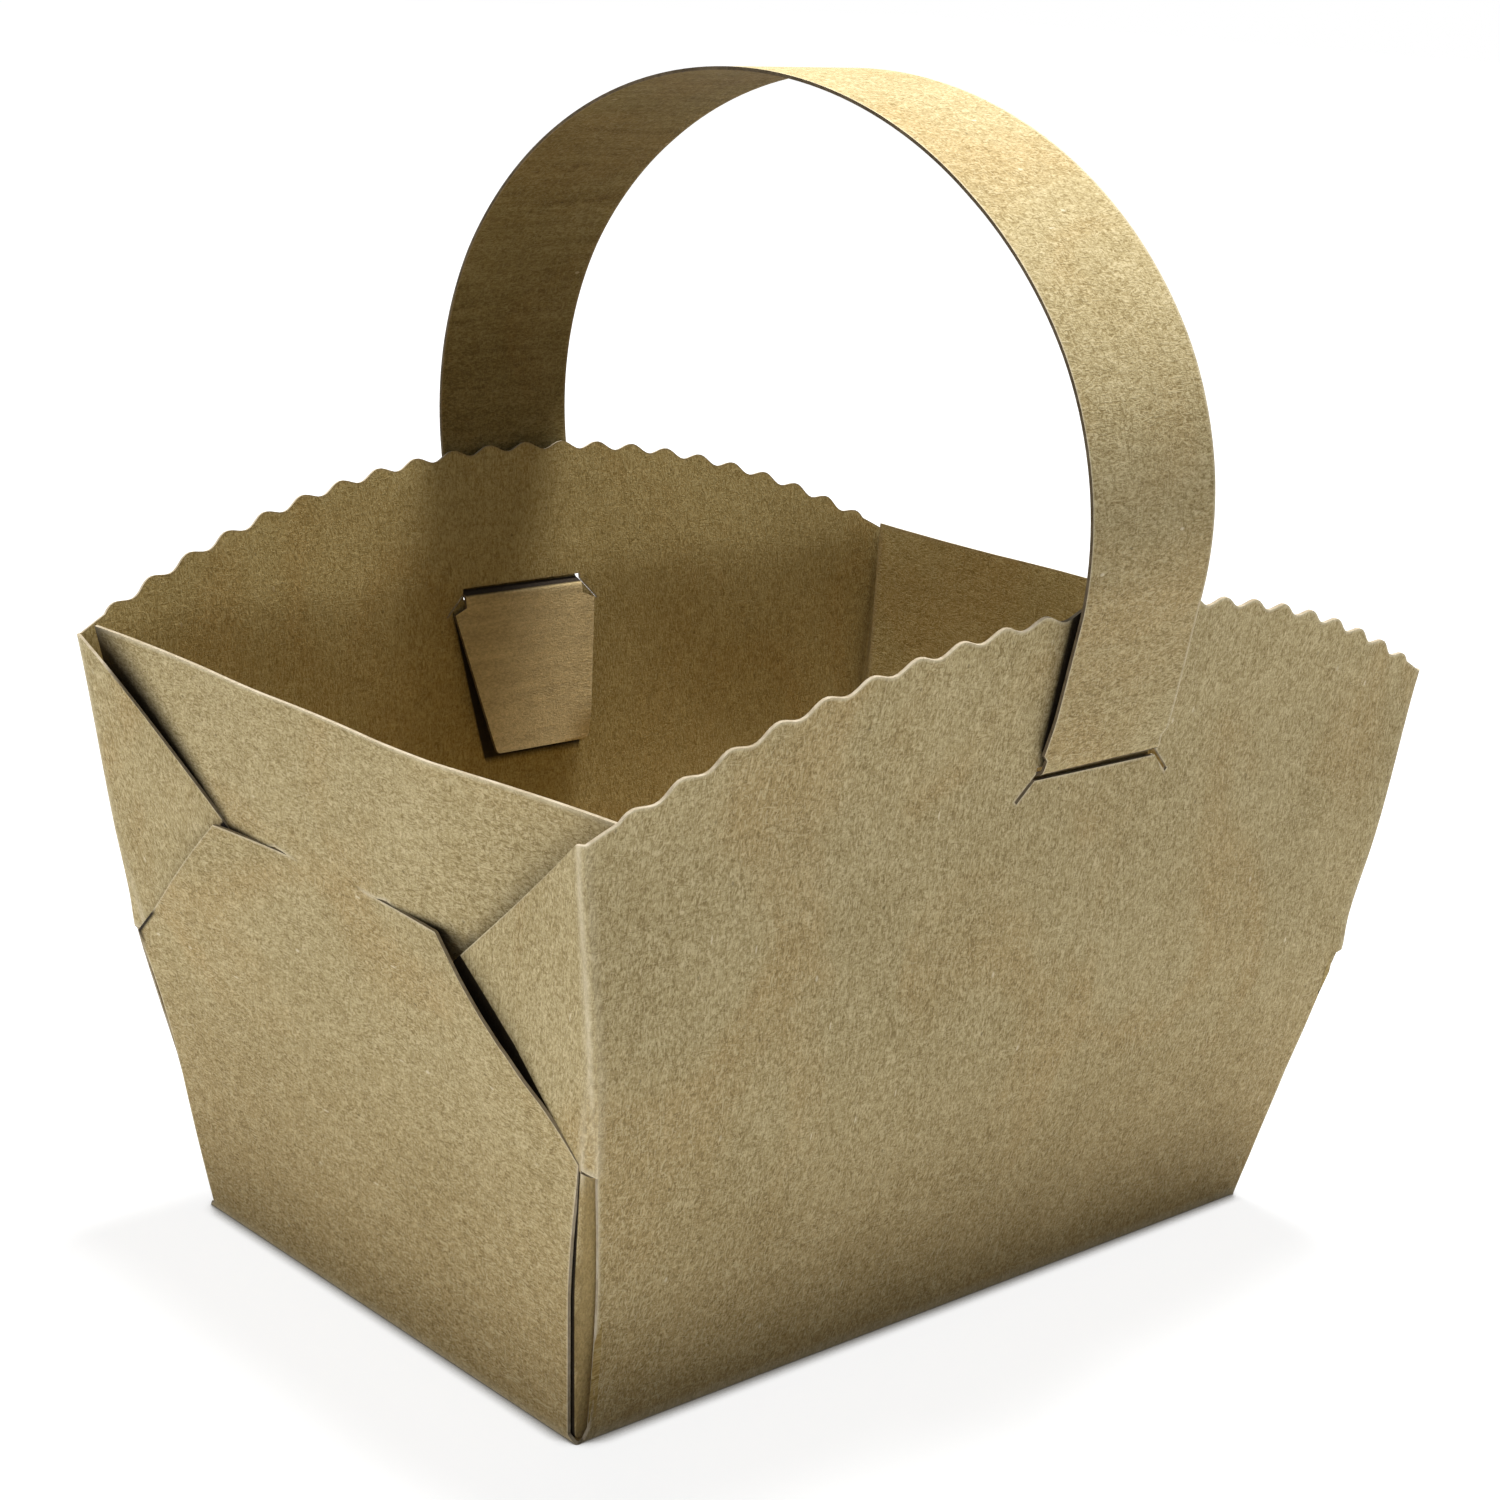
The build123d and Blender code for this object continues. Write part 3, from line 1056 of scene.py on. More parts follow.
    def score(
        self,
        wall: bpy.types.Object,
        middle: float,
        point: Vector,
        normal: Vector,
        heights: tuple[float, float],
    ) -> None:
        """Bisects a wall along a line beside its slot.

        Args:
            wall: the wall's panel.
            middle: where the slot's middle lies along the wall.
            point: a point on the line, in mm.
            normal: the line's normal.
            heights: the band of the wall that is bisected.
        """
        self.edit(wall, "DESELECT")
        bpy.ops.mesh.select_mode(type="FACE")
        bpy.ops.object.mode_set(mode="OBJECT")
        for polygon in wall.data.polygons:
            centre = polygon.center / MM
            polygon.select = abs(centre.x - middle) < self.slot_reach and heights[0] < centre.z < heights[1]
        bpy.ops.object.mode_set(mode="EDIT")
        bpy.ops.mesh.bisect(plane_co=point * MM, plane_no=normal, threshold=FINE)
        bpy.ops.object.mode_set(mode="OBJECT")

    def cut_slot(self, wall: bpy.types.Object, middle: float, nick_width: float) -> None:
        """Cuts the strap slot and its two turned-down ends out of a wall.

        Args:
            wall: the wall's panel.
            middle: where the slot's middle lies along the wall.
            nick_width: how wide the turned-down ends stand open.
        """
        low = self.slot_height - self.slot_low
        high = self.slot_height + self.slot_high
        level = [
            (Vector((0, 0, 1)), (0.0, low)),
            (Vector((0, 0, 1)), (0.0, high)),
            (Vector((1, 0, 0)), (-self.slot_half, 0.0)),
            (Vector((1, 0, 0)), (self.slot_half, 0.0)),
        ]
        self.cut_window(wall, middle, level)
        for hand in (-1, 1):
            lean = Vector((hand, 0, 1)).normalized()
            run = Vector((hand, 0, -1)).normalized()
            start = Vector((hand * (self.slot_half - nick_width), 0, self.slot_height))
            end = Vector((hand * (self.slot_half + self.slot_nick), 0, self.slot_height - self.slot_nick))
            half = nick_width / 2
            sides = [start + lean * half, start - lean * half]
            self.cut_window(
                wall,
                middle,
                [
                    (lean, (sides[1].x, sides[1].z)),
                    (lean, (sides[0].x, sides[0].z)),
                    (run, (start.x, start.z)),
                    (run, (end.x, end.z)),
                ],
            )

    def cut_window(
        self, wall: bpy.types.Object, middle: float, lines: list[tuple[Vector, tuple[float, float]]]
    ) -> None:
        """Bisects a wall along two pairs of parallel lines and deletes what lies between them.

        Args:
            wall: the wall's panel.
            middle: where the slot's middle lies along the wall.
            lines: each line's normal and a point on it, along the wall and up, from the slot's middle.
        """
        band = (self.slot_height - self.slot_band, self.slot_height + self.slot_band)
        spans = []
        ways = []
        for order, (normal, (along, up)) in enumerate(lines):
            point = Vector((middle + along, 0, up if up else self.slot_height))
            spans.append((normal, point.dot(normal)))
            outward = normal * self.edge_line * (1 if order % 2 else -1)
            ways.extend([(normal, point), (normal, point + outward)])
        for normal, point in ways:
            self.score(wall, middle, point, normal, band)
        self.edit(wall, "DESELECT")
        bpy.ops.mesh.select_mode(type="FACE")
        bpy.ops.object.mode_set(mode="OBJECT")
        for polygon in wall.data.polygons:
            centre = polygon.center / MM
            inside = True
            for (normal, first), (_, second) in (spans[0:2], spans[2:4]):
                reach = centre.dot(normal)
                inside = inside and min(first, second) < reach < max(first, second)
            polygon.select = inside
        bpy.ops.object.mode_set(mode="EDIT")
        bpy.ops.mesh.delete(type="FACE")
        bpy.ops.object.mode_set(mode="OBJECT")

    def corner_fold(self, end: int, side: int) -> bpy.types.Object:
        """The standing fold between a long wall and its tab, above the slit.

        Args:
            end: 1 or -1 along X.
            side: 1 or -1 along Y.

        Returns:
            The fold's panel.
        """
        columns = np.linspace(0.0, 1.0, self.fold_columns)
        rows = self.heights[self.heights >= self.tuck_foot - CLOSE]

        def place(turn: Points, height: Points) -> Points:
            """Two creases at the foot that run together into one round fold.

            Args:
                turn: from 0 at the wall to 1 at the tab.
                height: up from the table.

            Returns:
                The points in mm.
            """
            back_x, back_y = self.wall_crease(height), self.tab_crease(height)
            share = np.clip((height - self.tuck_foot) / self.delta_length, 0.0, 1.0)
            share = share * share * (3.0 - 2.0 * share)
            round_x, round_y = 1.0 - np.sin(turn * math.pi / 2), 1.0 - np.cos(turn * math.pi / 2)
            in_x = back_x * ((1.0 - share) * (1.0 - turn) ** self.fold_power + share * round_x)
            in_y = back_y * ((1.0 - share) * turn**self.fold_power + share * round_y)
            x = self.tab_plane(height) - in_x
            bulge = self.wall_bulge(self.tab_plane(height) - back_x, height)
            y = self.half_width(height) + bulge * (1.0 - turn) - in_y
            return self.turned(np.stack([x, y, height], axis=1), end, side)

        def flat(turn: Points, height: Points) -> Points:
            """On the blank the fold runs on from the wall."""
            u = self.tab_plane(height) - self.wall_crease(height) + self.fold_run * turn
            return np.stack([end * u, side * (self.base_width / 2 + height)], axis=1)

        return self.panel("corner_fold", columns, rows, place, flat, (end, side, 0))

    def tab(self, end: int, side: int) -> bpy.types.Object:
        """A corner tab, which lies behind the tongue and in front of the ear.

        Args:
            end: 1 or -1 along X.
            side: 1 or -1 along Y.

        Returns:
            The tab's panel.
        """
        rows = self.heights[self.heights >= self.tab_foot - CLOSE]
        top = float(self.half_width(self.corner_height) - self.corner_radius)
        drop = (top - self.tab_tip) * math.tan(math.radians(self.tab_slope[end, side]))
        foot = float(self.half_width(self.tab_foot) - self.tab_crease(self.tab_foot) - self.tab_foot_width)
        stop = self.tip_stop
        wide, narrow = self.tip_spans
        outline_stops = (0.0, stop - wide, stop - narrow, stop + narrow, stop + wide, 1.0)
        low = np.array([foot, self.tab_foot])
        tip = np.array([self.tab_tip, self.corner_height - drop])
        high = np.array([top, self.corner_height])
        into, away = tip + (low - tip) * self.tip_round, tip + (high - tip) * self.tip_round
        own, corner, other = self.tip_weights
        soft_in = own * into + corner * tip + other * away
        soft_out = own * away + corner * tip + other * into
        outline = np.stack([low, into, soft_in, soft_out, away, high])

        def spot(share: Points, height: Points) -> tuple[Points, Points]:
            """Where a point of the tab lies.

            Args:
                share: of the way from the fold to the far outline.
                height: up the fold.

            Returns:
                Distance across, and height.
            """
            down = (height - self.tab_foot) / (self.corner_height - self.tab_foot)
            far_y = np.interp(down, outline_stops, outline[:, 0])
            far_z = np.interp(down, outline_stops, outline[:, 1])
            near_y = self.half_width(height) - self.tab_crease(height)
            return near_y + share * (far_y - near_y), height + share * (far_z - height)

        def place(share: Points, height: Points) -> Points:
            """On the plane of the tabs."""
            y, z = spot(share, height)
            return self.turned(np.stack([self.tab_plane(z), y, z], axis=1), end, side)

        def flat(share: Points, height: Points) -> Points:
            """On the blank the tab runs on from its fold.

            Args:
                share: of the way from the fold to the far outline.
                height: up the fold.

            Returns:
                Places on the flat sheet.
            """
            y, z = spot(share, height)
            u = self.tab_plane(z) + self.half_width(z) - y
            return np.stack([end * u, side * (self.base_width / 2 + z)], axis=1)

        columns = spread((0.0, 0), (0.006, 1), (0.04, 1), (0.985, 24), (1.0, 1))
        made = self.panel("tab", columns, rows, place, flat, (end, 0, 0))
        bend, swell = self.slit_bend[end, side], self.slant_swell[end, side]
        ups = np.array([self.slit_height, (self.slit_height + self.slit_foot) / 2, self.slit_foot])
        stops = np.stack([self.tongue_half(ups, bend, swell), ups * self.end_rise], axis=1)
        # Cuts along the slanting edge so that the painted shade there has a crisp edge.
        for start, run in zip(stops, np.diff(stops, axis=0)):
            across = Vector((0, side * -run[1], run[0])).normalized()
            for inside in self.shade_edge_lines:
                point = Vector((0, side * start[0], start[1])) - across * inside
                self.edit(made, "SELECT")
                bpy.ops.mesh.bisect(plane_co=point * MM, plane_no=across, threshold=FINE)
                bpy.ops.object.mode_set(mode="OBJECT")
        # Painted shade on the tab beside the strip below the slit, and under the tongue's slanting edge
        # above it.
        _, y, z = np.abs(self.points_of(made)).T
        strip = self.tongue_half(z / self.end_rise) + self.strip_gap - y > self.strip_shade_margin
        slanted = self.tongue_half(z / self.end_rise, bend, swell) - y > self.painted_shade_depth
        closed = self.slit_foot + self.closed_share * (self.slit_height - self.slit_foot)
        slanted = slanted & (z > closed * self.end_rise)
        self.mark(made, "gap", np.where(z < self.tuck_foot - self.tuck_near, strip, slanted))
        return made

    def tuck_strip(self, end: int, side: int) -> bpy.types.Object:
        """The flat strip of a tab that shows in the open corner below the slit.

        Args:
            end: 1 or -1 along X.
            side: 1 or -1 along Y.

        Returns:
            The strip's panel.
        """
        keep = (self.heights >= self.strip_low) & (self.heights <= self.tuck_foot - 0.5 * self.kerf)
        rows = self.heights[keep]

        def place(share: Points, height: Points) -> Points:
            """From the tab round the corner, to a free edge behind the wall's cut edge.

            Args:
                share: of the way from the tab to the free edge.
                height: up from the table.

            Returns:
                The points in mm.
            """
            back = self.tab_crease(height)
            x = self.tab_plane(height) - np.interp(share, self.strip_shares, self.strip_insets)
            depth = np.interp(share, self.strip_shares, self.strip_depths)
            y = self.half_width(height) - self.strip_recess - depth * (back - self.strip_recess)
            return self.turned(np.stack([x, y, height], axis=1), end, side)

        def flat(share: Points, height: Points) -> Points:
            """On the blank the strip lies between the tab and the wall."""
            u = self.tab_plane(height) + self.tab_crease(height) * (1.0 - self.strip_run * share)
            return np.stack([end * u, side * (self.base_width / 2 + height)], axis=1)

        made = self.panel("tuck_strip", np.array(self.strip_shares), rows, place, flat, (end, side, 0))
        # The strip takes the darker, more orange core colour in place of the outside's own.
        self.mark(made, "tone_and_painted_light", np.ones(len(made.data.vertices)))
        return made

    def tongue(self, end: int) -> bpy.types.Object:
        """The lower part of an end wall, whose top corners spring out over the tabs.

        Args:
            end: 1 or -1 along X.

        Returns:
            The tongue's panel.
        """
        below_slit = self.slit_height - self.edge_line
        rows = spread((0.0, 0), (self.toe, 2), (self.slit_foot, 14), (below_slit, 18), (self.slit_height, 1))

        def spot(share: Points, up: Points) -> Points:
            """Across the wall for a share of its half width."""
            left, right = (
                self.tongue_half(up, self.slit_bend[end, side], self.slant_swell[end, side])
                for side in (-1, 1)
            )
            return share * np.where(share < 0, left, right)

        def place(share: Points, up: Points) -> Points:
            """On the slope of the end wall, with the sprung corners.

            Args:
                share: of the tongue's half width.
                up: up the slope from the base.

            Returns:
                The points in mm.
            """
            across = spot(share, up)
            out = np.zeros_like(across)
            for side in (-1, 1):
                corner, run, length = self.slant(end, side)
                away = np.stack([side * across, up], axis=1) - corner
                swell = np.interp(away @ run / length, self.lift_stops, self.lift_shares)
                inwards = away @ np.array([run[1], -run[0]])
                out += self.tongue_lift[end, side] * swell * fall(inwards, self.lift_reach)
                reach = np.hypot(side * across - self.tongue_shoulder, up - self.slit_foot)
                out += self.shoulder_lift[end, side] * fall(reach, self.shoulder_reach)
            return self.turned(self.tongue_point(across, up, out), end, 1)

        def flat(share: Points, up: Points) -> Points:
            """On the blank the tongue lies at the end of the base."""
            return np.stack([end * (self.base_length / 2 + up), spot(share, up)], axis=1)

        made = self.panel("tongue", self.tongue_columns, rows, place, flat, (end, 0, 0))
        # Painted shadow along the tongue's +Y edge just above the slit's foot, at the -X end, where the
        # tab's corner stands over it.
        _, y, z = self.points_of(made).T
        up = z / math.cos(self.tongue_angle)
        beside = self.tongue_half(up) - y
        notch = np.clip((self.notch_inset - beside) / self.notch_blur, 0.0, 1.0)
        notch *= np.abs(up - self.slit_foot - self.notch_height) < self.notch_half
        self.mark(made, "gap", notch * (end < 0))
        return made

    def ear_depth(self, across: Points, end: int, side: int) -> Points:
        """How far the ear lies behind the tongue.

        Args:
            across: distance from the middle of the wall.
            end: 1 or -1 along X.
            side: 1 or -1 along Y.

        Returns:
            The depths in mm.
        """
        near, far = self.ear_bend[end, side], self.ear_setback[end, side]
        bend_at = self.slit_bend[end, side]
        start = self.slit_share * bend_at
        inner = np.clip((across - start) / (bend_at - start), 0.0, 1.0)
        outer = np.maximum(across - bend_at, 0.0) / (self.half_width(self.corner_height) - bend_at)
        bend = near * ((1.0 + self.ear_curl) * inner**2 - self.ear_curl * inner**3)
        return bend + (far - near) * outer + self.ear_bulge * outer * np.maximum(1.0 - outer, 0.0)

    def ear(self, end: int) -> list[bpy.types.Object]:
        """The upper part of an end wall: its middle and its two wings behind the tabs.

        Args:
            end: 1 or -1 along X.

        Returns:
            The three panels.
        """
        foot_half = self.base_width / 2 - self.sheet - self.ear_side_gap
        splay = self.side_lean * self.end_rise
        tip = self.ear_height + self.ear_dip
        tip_half = foot_half + splay * tip
        rows = spread((0.0, 0), (0.16, 6), (0.98, 12), (1.0, 1))

        def top(across: Points) -> Points:
            """Upper edge, a little higher at its tips."""
            return self.ear_height + self.ear_dip * (across / tip_half) ** 2

        def middle(column: Points, share: Points) -> Points:
            """Across and up in the middle."""
            across = column * np.where(column < 0, self.slit_bend[end, -1], self.slit_bend[end, 1])
            return np.stack([across, self.slit_height + share * (top(across) - self.slit_height)], axis=1)

        def wing(turn: Points, share: Points, side: int) -> Points:
            """A wing, ruled from the slit to the upper edge.

            Args:
                turn: from 0 where the slit starts to 1 at the wing's outer edge.
                share: from 0 at the slit to 1 at the upper edge.
                side: 1 or -1 along Y.

            Returns:
                Points across and up.
            """
            (bend, _), run, _ = self.slant(end, side)
            start, steep = self.slit_share * bend, -run[1] / run[0]
            low = (bend - foot_half + (self.slit_height + self.kerf) / steep) / (splay + 1 / steep)
            below_x = np.interp(turn, (0.0, self.wing_bend, 1.0), (start, bend, foot_half + splay * low))
            opened = self.kerf * np.clip((below_x - start) / self.slit_opening, 0.0, 1.0)
            gape = 1.0 - ((turn - self.gape_at) / self.gape_half) ** 2
            opened = opened + self.slit_gape * np.clip(gape, 0.0, 1.0)
            below_y = self.slit_height + opened - steep * np.maximum(below_x - bend, 0.0)
            below_y = below_y - self.ear_lap * np.interp(turn, self.lap_stops, (0.0, 1.0, 1.0, 0.0))
            below_y = np.where(turn > 1.0 - TINY, low, below_y)
            above_x = start + turn * (tip_half - start)
            across = below_x + share * (above_x - below_x)
            return np.stack([across, below_y + share * (top(above_x) - below_y)], axis=1)

        def middle_place(column: Points, share: Points) -> Points:
            """The middle on the slope of the end wall."""
            across, up = middle(column, share).T
            return self.turned(self.tongue_point(across, up, np.zeros_like(across)), end, 1)

        def middle_flat(column: Points, share: Points) -> Points:
            """On the blank the middle runs on from the tongue."""
            across, up = middle(column, share).T
            return np.stack([end * (self.base_length / 2 + up), across], axis=1)

        between = self.tongue_columns[np.abs(self.tongue_columns) <= self.slit_share + TINY]
        panels = [self.panel("ear", between, rows, middle_place, middle_flat, (end, 0, 0))]
        for side in (-1, 1):

            def place(turn: Points, share: Points, side: int = side) -> Points:
                """A wing that bends in behind its tab.

                Args:
                    turn: from 0 where the slit starts to 1 at the wing's outer edge.
                    share: from 0 at the slit to 1 at the upper edge.
                    side: 1 or -1 along Y.

                Returns:
                    The points in mm.
                """
                across, up = wing(turn, share, side).T
                points = self.tongue_point(across, up, np.zeros_like(across))
                points[:, 0] -= self.ear_depth(across, end, side)
                return self.turned(points, end, side)

            def flat(turn: Points, share: Points, side: int = side) -> Points:
                """On the blank the wing runs on from the tongue."""
                across, up = wing(turn, share, side).T
                return np.stack([end * (self.base_length / 2 + up), side * across], axis=1)

            columns = spread((0.0, 0), (self.wing_bend, 12), (1.0, 24))
            made = self.panel("ear_wing", columns, rows, place, flat, (end, 0, 0))
            _, y, z = np.abs(self.points_of(made)).T
            # Painted shade on the wing along the slit and beside the tab's upper edge.
            self.mark(made, "gap", self.ear_shade(y, z, end, side))
            panels.append(made)
        return panels

    def ear_shade(self, y: Points, z: Points, end: int, side: int) -> Points:
        """How much shade is painted between the ear, the tongue and the tab.

        Args:
            y: distance from the middle of the end wall.
            z: height.
            end: 1 or -1 along X.
            side: 1 or -1 along Y.

        Returns:
            A number from 0 to 1 for each point.
        """
        bend = self.slit_bend[end, side]
        below = self.slit_height * self.end_rise + self.slit_rise - z
        start = self.slit_share * bend
        stops = np.array([start, start, bend, bend]) + np.array(self.slit_ends)
        along = np.interp(y, stops, self.slit_darks)
        slit = np.clip(below / self.slit_blur, 0.0, 1.0) * along
        slope = math.radians(self.tab_slope[end, side])
        corner = self.half_width(self.corner_height) - self.corner_radius
        above = (z - self.corner_height + (corner - y) * math.tan(slope)) * math.cos(slope)
        reach = np.interp(y, (bend, corner), self.gloom_reach)
        tab = self.ear_gloom[end, side] * np.clip(1.0 - above / reach, 0.0, 1.0) ** self.gloom_power
        return np.maximum(slit, tab * (y > bend - 1.0))

    def crease(self, points: Points) -> Points:
        """How close a point lies to a fold, where the board is rubbed.

        Args:
            points: points in mm.

        Returns:
            A number from 0 to 1 for each point.
        """
        x, y, z = np.abs(points[:, 0]), np.abs(points[:, 1]), points[:, 2]
        long_fold = fall(np.hypot(y - self.base_width / 2, z), self.base_wear)
        end_fold = fall(np.hypot(x - self.base_length / 2, z), self.base_wear)
        in_x, in_y = self.tab_plane(z) - x, self.half_width(z) - y
        back_x, back_y = self.wall_crease(z), self.tab_crease(z)
        above = np.clip((z - self.tuck_foot + 0.2) / 0.4, 0.0, 1.0)
        merged = np.clip((z - self.tuck_foot) / self.delta_length, 0.0, 1.0)
        single = fall(np.hypot(in_x - 0.1, in_y - 0.6), 0.5) * merged
        wall_line = fall(np.hypot(in_x - back_x, in_y), self.line_wear)
        tab_line = fall(np.hypot(in_x, in_y - back_y), self.line_wear)
        double = 0.8 * np.maximum(wall_line, tab_line) * (1.0 - 0.6 * merged)
        return self.fold_wear * np.maximum.reduce([long_fold, end_fold, above * single, above * double])

    def soften_folds(self, tray: bpy.types.Object) -> None:
        """Rounds the folds around the base.

        Args:
            tray: the flat-panelled sheet.
        """
        self.edit(tray, "DESELECT")
        bpy.ops.mesh.select_mode(type="EDGE")
        bpy.ops.object.mode_set(mode="OBJECT")
        points = self.points_of(tray)
        close = 2 * CLOSE
        for edge in tray.data.edges:
            a, b = points[edge.vertices[0]], points[edge.vertices[1]]
            on_table = max(abs(a[2]), abs(b[2])) < close
            long_fold = all(abs(abs(p[1]) - self.base_width / 2) < close for p in (a, b)) and (
                max(abs(a[0]), abs(b[0])) < self.base_length / 2 - self.fold_bevel
            )
            end_fold = all(abs(abs(p[0]) - self.base_length / 2) < close for p in (a, b))
            edge.select = on_table and (long_fold or end_fold)
        bpy.ops.object.mode_set(mode="EDIT")
        bpy.ops.mesh.bevel(offset=self.fold_bevel * MM, segments=3, affect="EDGES", clamp_overlap=True)
        bpy.ops.object.mode_set(mode="OBJECT")

    def warp(self, tray: bpy.types.Object) -> None:
        """Gives the flat panels the slight waves of real board.

        Args:
            tray: the sheet before it has its thickness.
        """
        points = self.points_of(tray)
        x, y, z = points.T
        wave = np.sin(0.105 * x + 0.9) * np.cos(0.083 * z + 0.4)
        wave += 0.7 * np.sin(0.121 * y - 0.067 * z + 2.1)
        wave += 0.5 * np.sin(0.19 * x + 0.16 * z + 0.14 * y)
        lifted = np.clip(z / self.ripple_rise, 0.0, 1.0)
        points = points + self.normals_of(tray) * (self.ripple * wave * lifted)[:, None]
        beside = np.abs(y) / self.half_width(z)
        deepest = np.where(x < 0, self.end_dish[-1], self.end_dish[1])
        dish = deepest * np.clip(z / self.dish_height, 0.0, self.dish_most) ** self.dish_power
        at_end = np.abs(x) > self.base_length / 2 - self.end_margin
        points[:, 0] -= np.sign(x) * dish * np.maximum(1.0 - beside**2, 0.0) * at_end
        above = z > self.tuck_foot - self.tuck_near
        for (end, side), dent in self.corner_dent.items():
            along = x * end - self.dent_from
            here = (along > 0.0) & (y * side > 0.0) & above
            near = np.clip(along / self.dent_run, 0.0, 1.0) * here
            near *= np.clip(beside, 0.0, 1.0) ** self.dent_power
            flick = self.corner_flick[end, side] * fall(z - self.tuck_foot, self.flick_reach)
            dent_here = dent * fall(z - self.dent_height, self.dent_reach)
            points[:, 0] += end * near * (flick - dent_here)
        self.set_points(tray, points)

    def build(self, finishes: list[Union[KraftFace, CutEdge]]) -> bpy.types.Object:
        """Folds the tray.

        Args:
            finishes: the finish of each face of the board, in the order of Face.

        Returns:
            The finished sheet.
        """
        panels = [self.base_panel()]
        for side in (-1, 1):
            panels.append(self.long_wall(side))
        for end in (-1, 1):
            panels.append(self.tongue(end))
            panels.extend(self.ear(end))
            for side in (-1, 1):
                panels.append(self.corner_fold(end, side))
                panels.append(self.tuck_strip(end, side))
                panels.append(self.tab(end, side))
        tray = self.join("folded_tray", panels)
        self.soften_folds(tray)
        # Wear along the folds, and a pale line painted as a highlight along the cut edges.
        wear_and_edge_highlight = np.maximum(self.crease(self.points_of(tray)), self.cut_line(tray))
        self.mark(tray, "crease", wear_and_edge_highlight)
        self.warp(tray)
        self.dress(tray, finishes)
        self.thicken(tray, -1.0)
        return tray


@dataclass
class StrapHandle(SheetPiece):
    """The strap: a band bent into a bow, its ends threaded through the slots of the long walls."""

    # The band.
    width: float = 20.5
    crown: float = 138.6
    bend: float = 0.55
    blank_half: float = 120.0
    front_shift: float = 4.6
    rear_shift: float = 0.4
    leg_reach: float = 48.0
    # The wall that it is threaded through.
    base_width: float = 72.2
    wall_lean: float = 0.1821
    wall_top: float = 87.3
    wall_spring: float = 2.7
    corner_height: float = 70.8
    fit: float = 0.15
    slot_height: float = 69.0
    slot_drop: float = 0.5
    slot_near: float = 2.5
    wall_near: float = 0.5
    # The lock at each end.
    neck_width: float = 19.0
    neck_length: float = 3.4
    lock_width: float = 22.8
    lock_end_width: float = 16.2
    lock_corner: float = 0.6
    lock_length: float = 20.5
    lock_slew: float = 1.0
    slew_below: float = 2.0
    stand_off: float = 1.3
    tone_and_light_share: float = 0.9
    # How the band twists, lies off the wall and hangs inside it.
    twist_heights: tuple[float, ...] = (68.0, 70.6, 76.0, 87.0, 108.0, 128.0)
    front_twist: tuple[float, ...] = (0.0, 0.45, 0.95, 1.25, 0.7, 0.0)
    rear_twist: tuple[float, ...] = (0.0, 0.25, 0.5, 0.7, 0.4, 0.0)
    lie_off: float = 0.14
    lie_from: float = 70.6
    lie_until: float = 120.0
    lie_fades: tuple[float, float] = (4.0, 20.0)
    spring_share: float = 0.75
    hang_from: float = 66.5
    hang_swing: float = 0.9
    curl: float = 0.5
    curl_top: float = 62.0
    curl_reach: float = 0.42
    curl_height: float = 5.0

    def half_path(self) -> Points:
        """Middle of the band from its hanging end to the crown, on the +Y side.

        Returns:
            Points across and up, in mm.
        """
        slope = math.cos(math.atan(self.wall_lean))
        offset = (self.sheet / 2 + self.fit) / slope
        leg = self.base_width / 2 + offset
        hang = self.base_width / 2 - offset - self.sheet / slope
        high, low = self.slot_height + self.slot_drop / 2, self.slot_height - self.slot_drop / 2
        end = self.slot_height - self.lock_length
        corners = [
            np.array([hang + self.wall_lean * end - self.stand_off, end]),
            np.array([hang + self.wall_lean * low, low]),
            np.array([leg + self.wall_lean * high, high]),
            np.array([leg + self.wall_lean * self.wall_top, self.wall_top]),
        ]
        line = self.rounded(corners)
        shoulder = (self.width - self.neck_width) / 2
        neck = [self.slot_height - self.neck_length / 2, self.slot_height + self.neck_length / 2]
        stops = spread((end, 0), (end + self.lock_corner, 6), (neck[0] - shoulder, 16), (neck[0], 3))
        through = spread((neck[0], 0), (neck[1], 18), (neck[1] + shoulder, 3), (self.wall_top, 14))
        heights = np.concatenate([stops, through[1:]])
        threaded = np.stack([np.interp(heights, line[:, 1], line[:, 0]), heights], axis=1)
        top = self.crown - self.sheet / 2
        bow = (self.wall_top * leg + self.wall_lean * top**2) / (
            leg + 2 * self.wall_lean * top - self.wall_lean * self.wall_top
        )
        rise = top - bow
        reach = math.sqrt((leg + self.wall_lean * bow) ** 2 - (self.wall_lean * rise) ** 2)
        turn = math.asin((bow - self.wall_top) / rise)
        angles = np.linspace(-turn, math.pi / 2, 56)[1:]
        arch = np.stack([reach * np.cos(angles), bow + rise * np.sin(angles)], axis=1)
        return np.concatenate([threaded, arch])

    def rounded(self, corners: list[Points]) -> Points:
        """A line through corners, its inner corners rounded.

        Args:
            corners: the corners, across and up.

        Returns:
            Points along the rounded line.
        """
        line = [corners[0]]
        for before, corner, after in zip(corners, corners[1:], corners[2:]):
            into = (before - corner) / np.linalg.norm(before - corner)
            away = (after - corner) / np.linalg.norm(after - corner)
            half = 0.5 * math.acos(float(np.clip(into @ away, -1.0, 1.0)))
            length = self.bend / math.tan(half)
            centre = corner + (into + away) / np.linalg.norm(into + away) * self.bend / math.sin(half)
            start, end = corner + into * length - centre, corner + away * length - centre
            for share in np.linspace(0.0, 1.0, 7):
                spoke = start * (1 - share) + end * share
                line.append(centre + spoke / np.linalg.norm(spoke) * self.bend)
        line.append(corners[-1])
        return np.array(line)

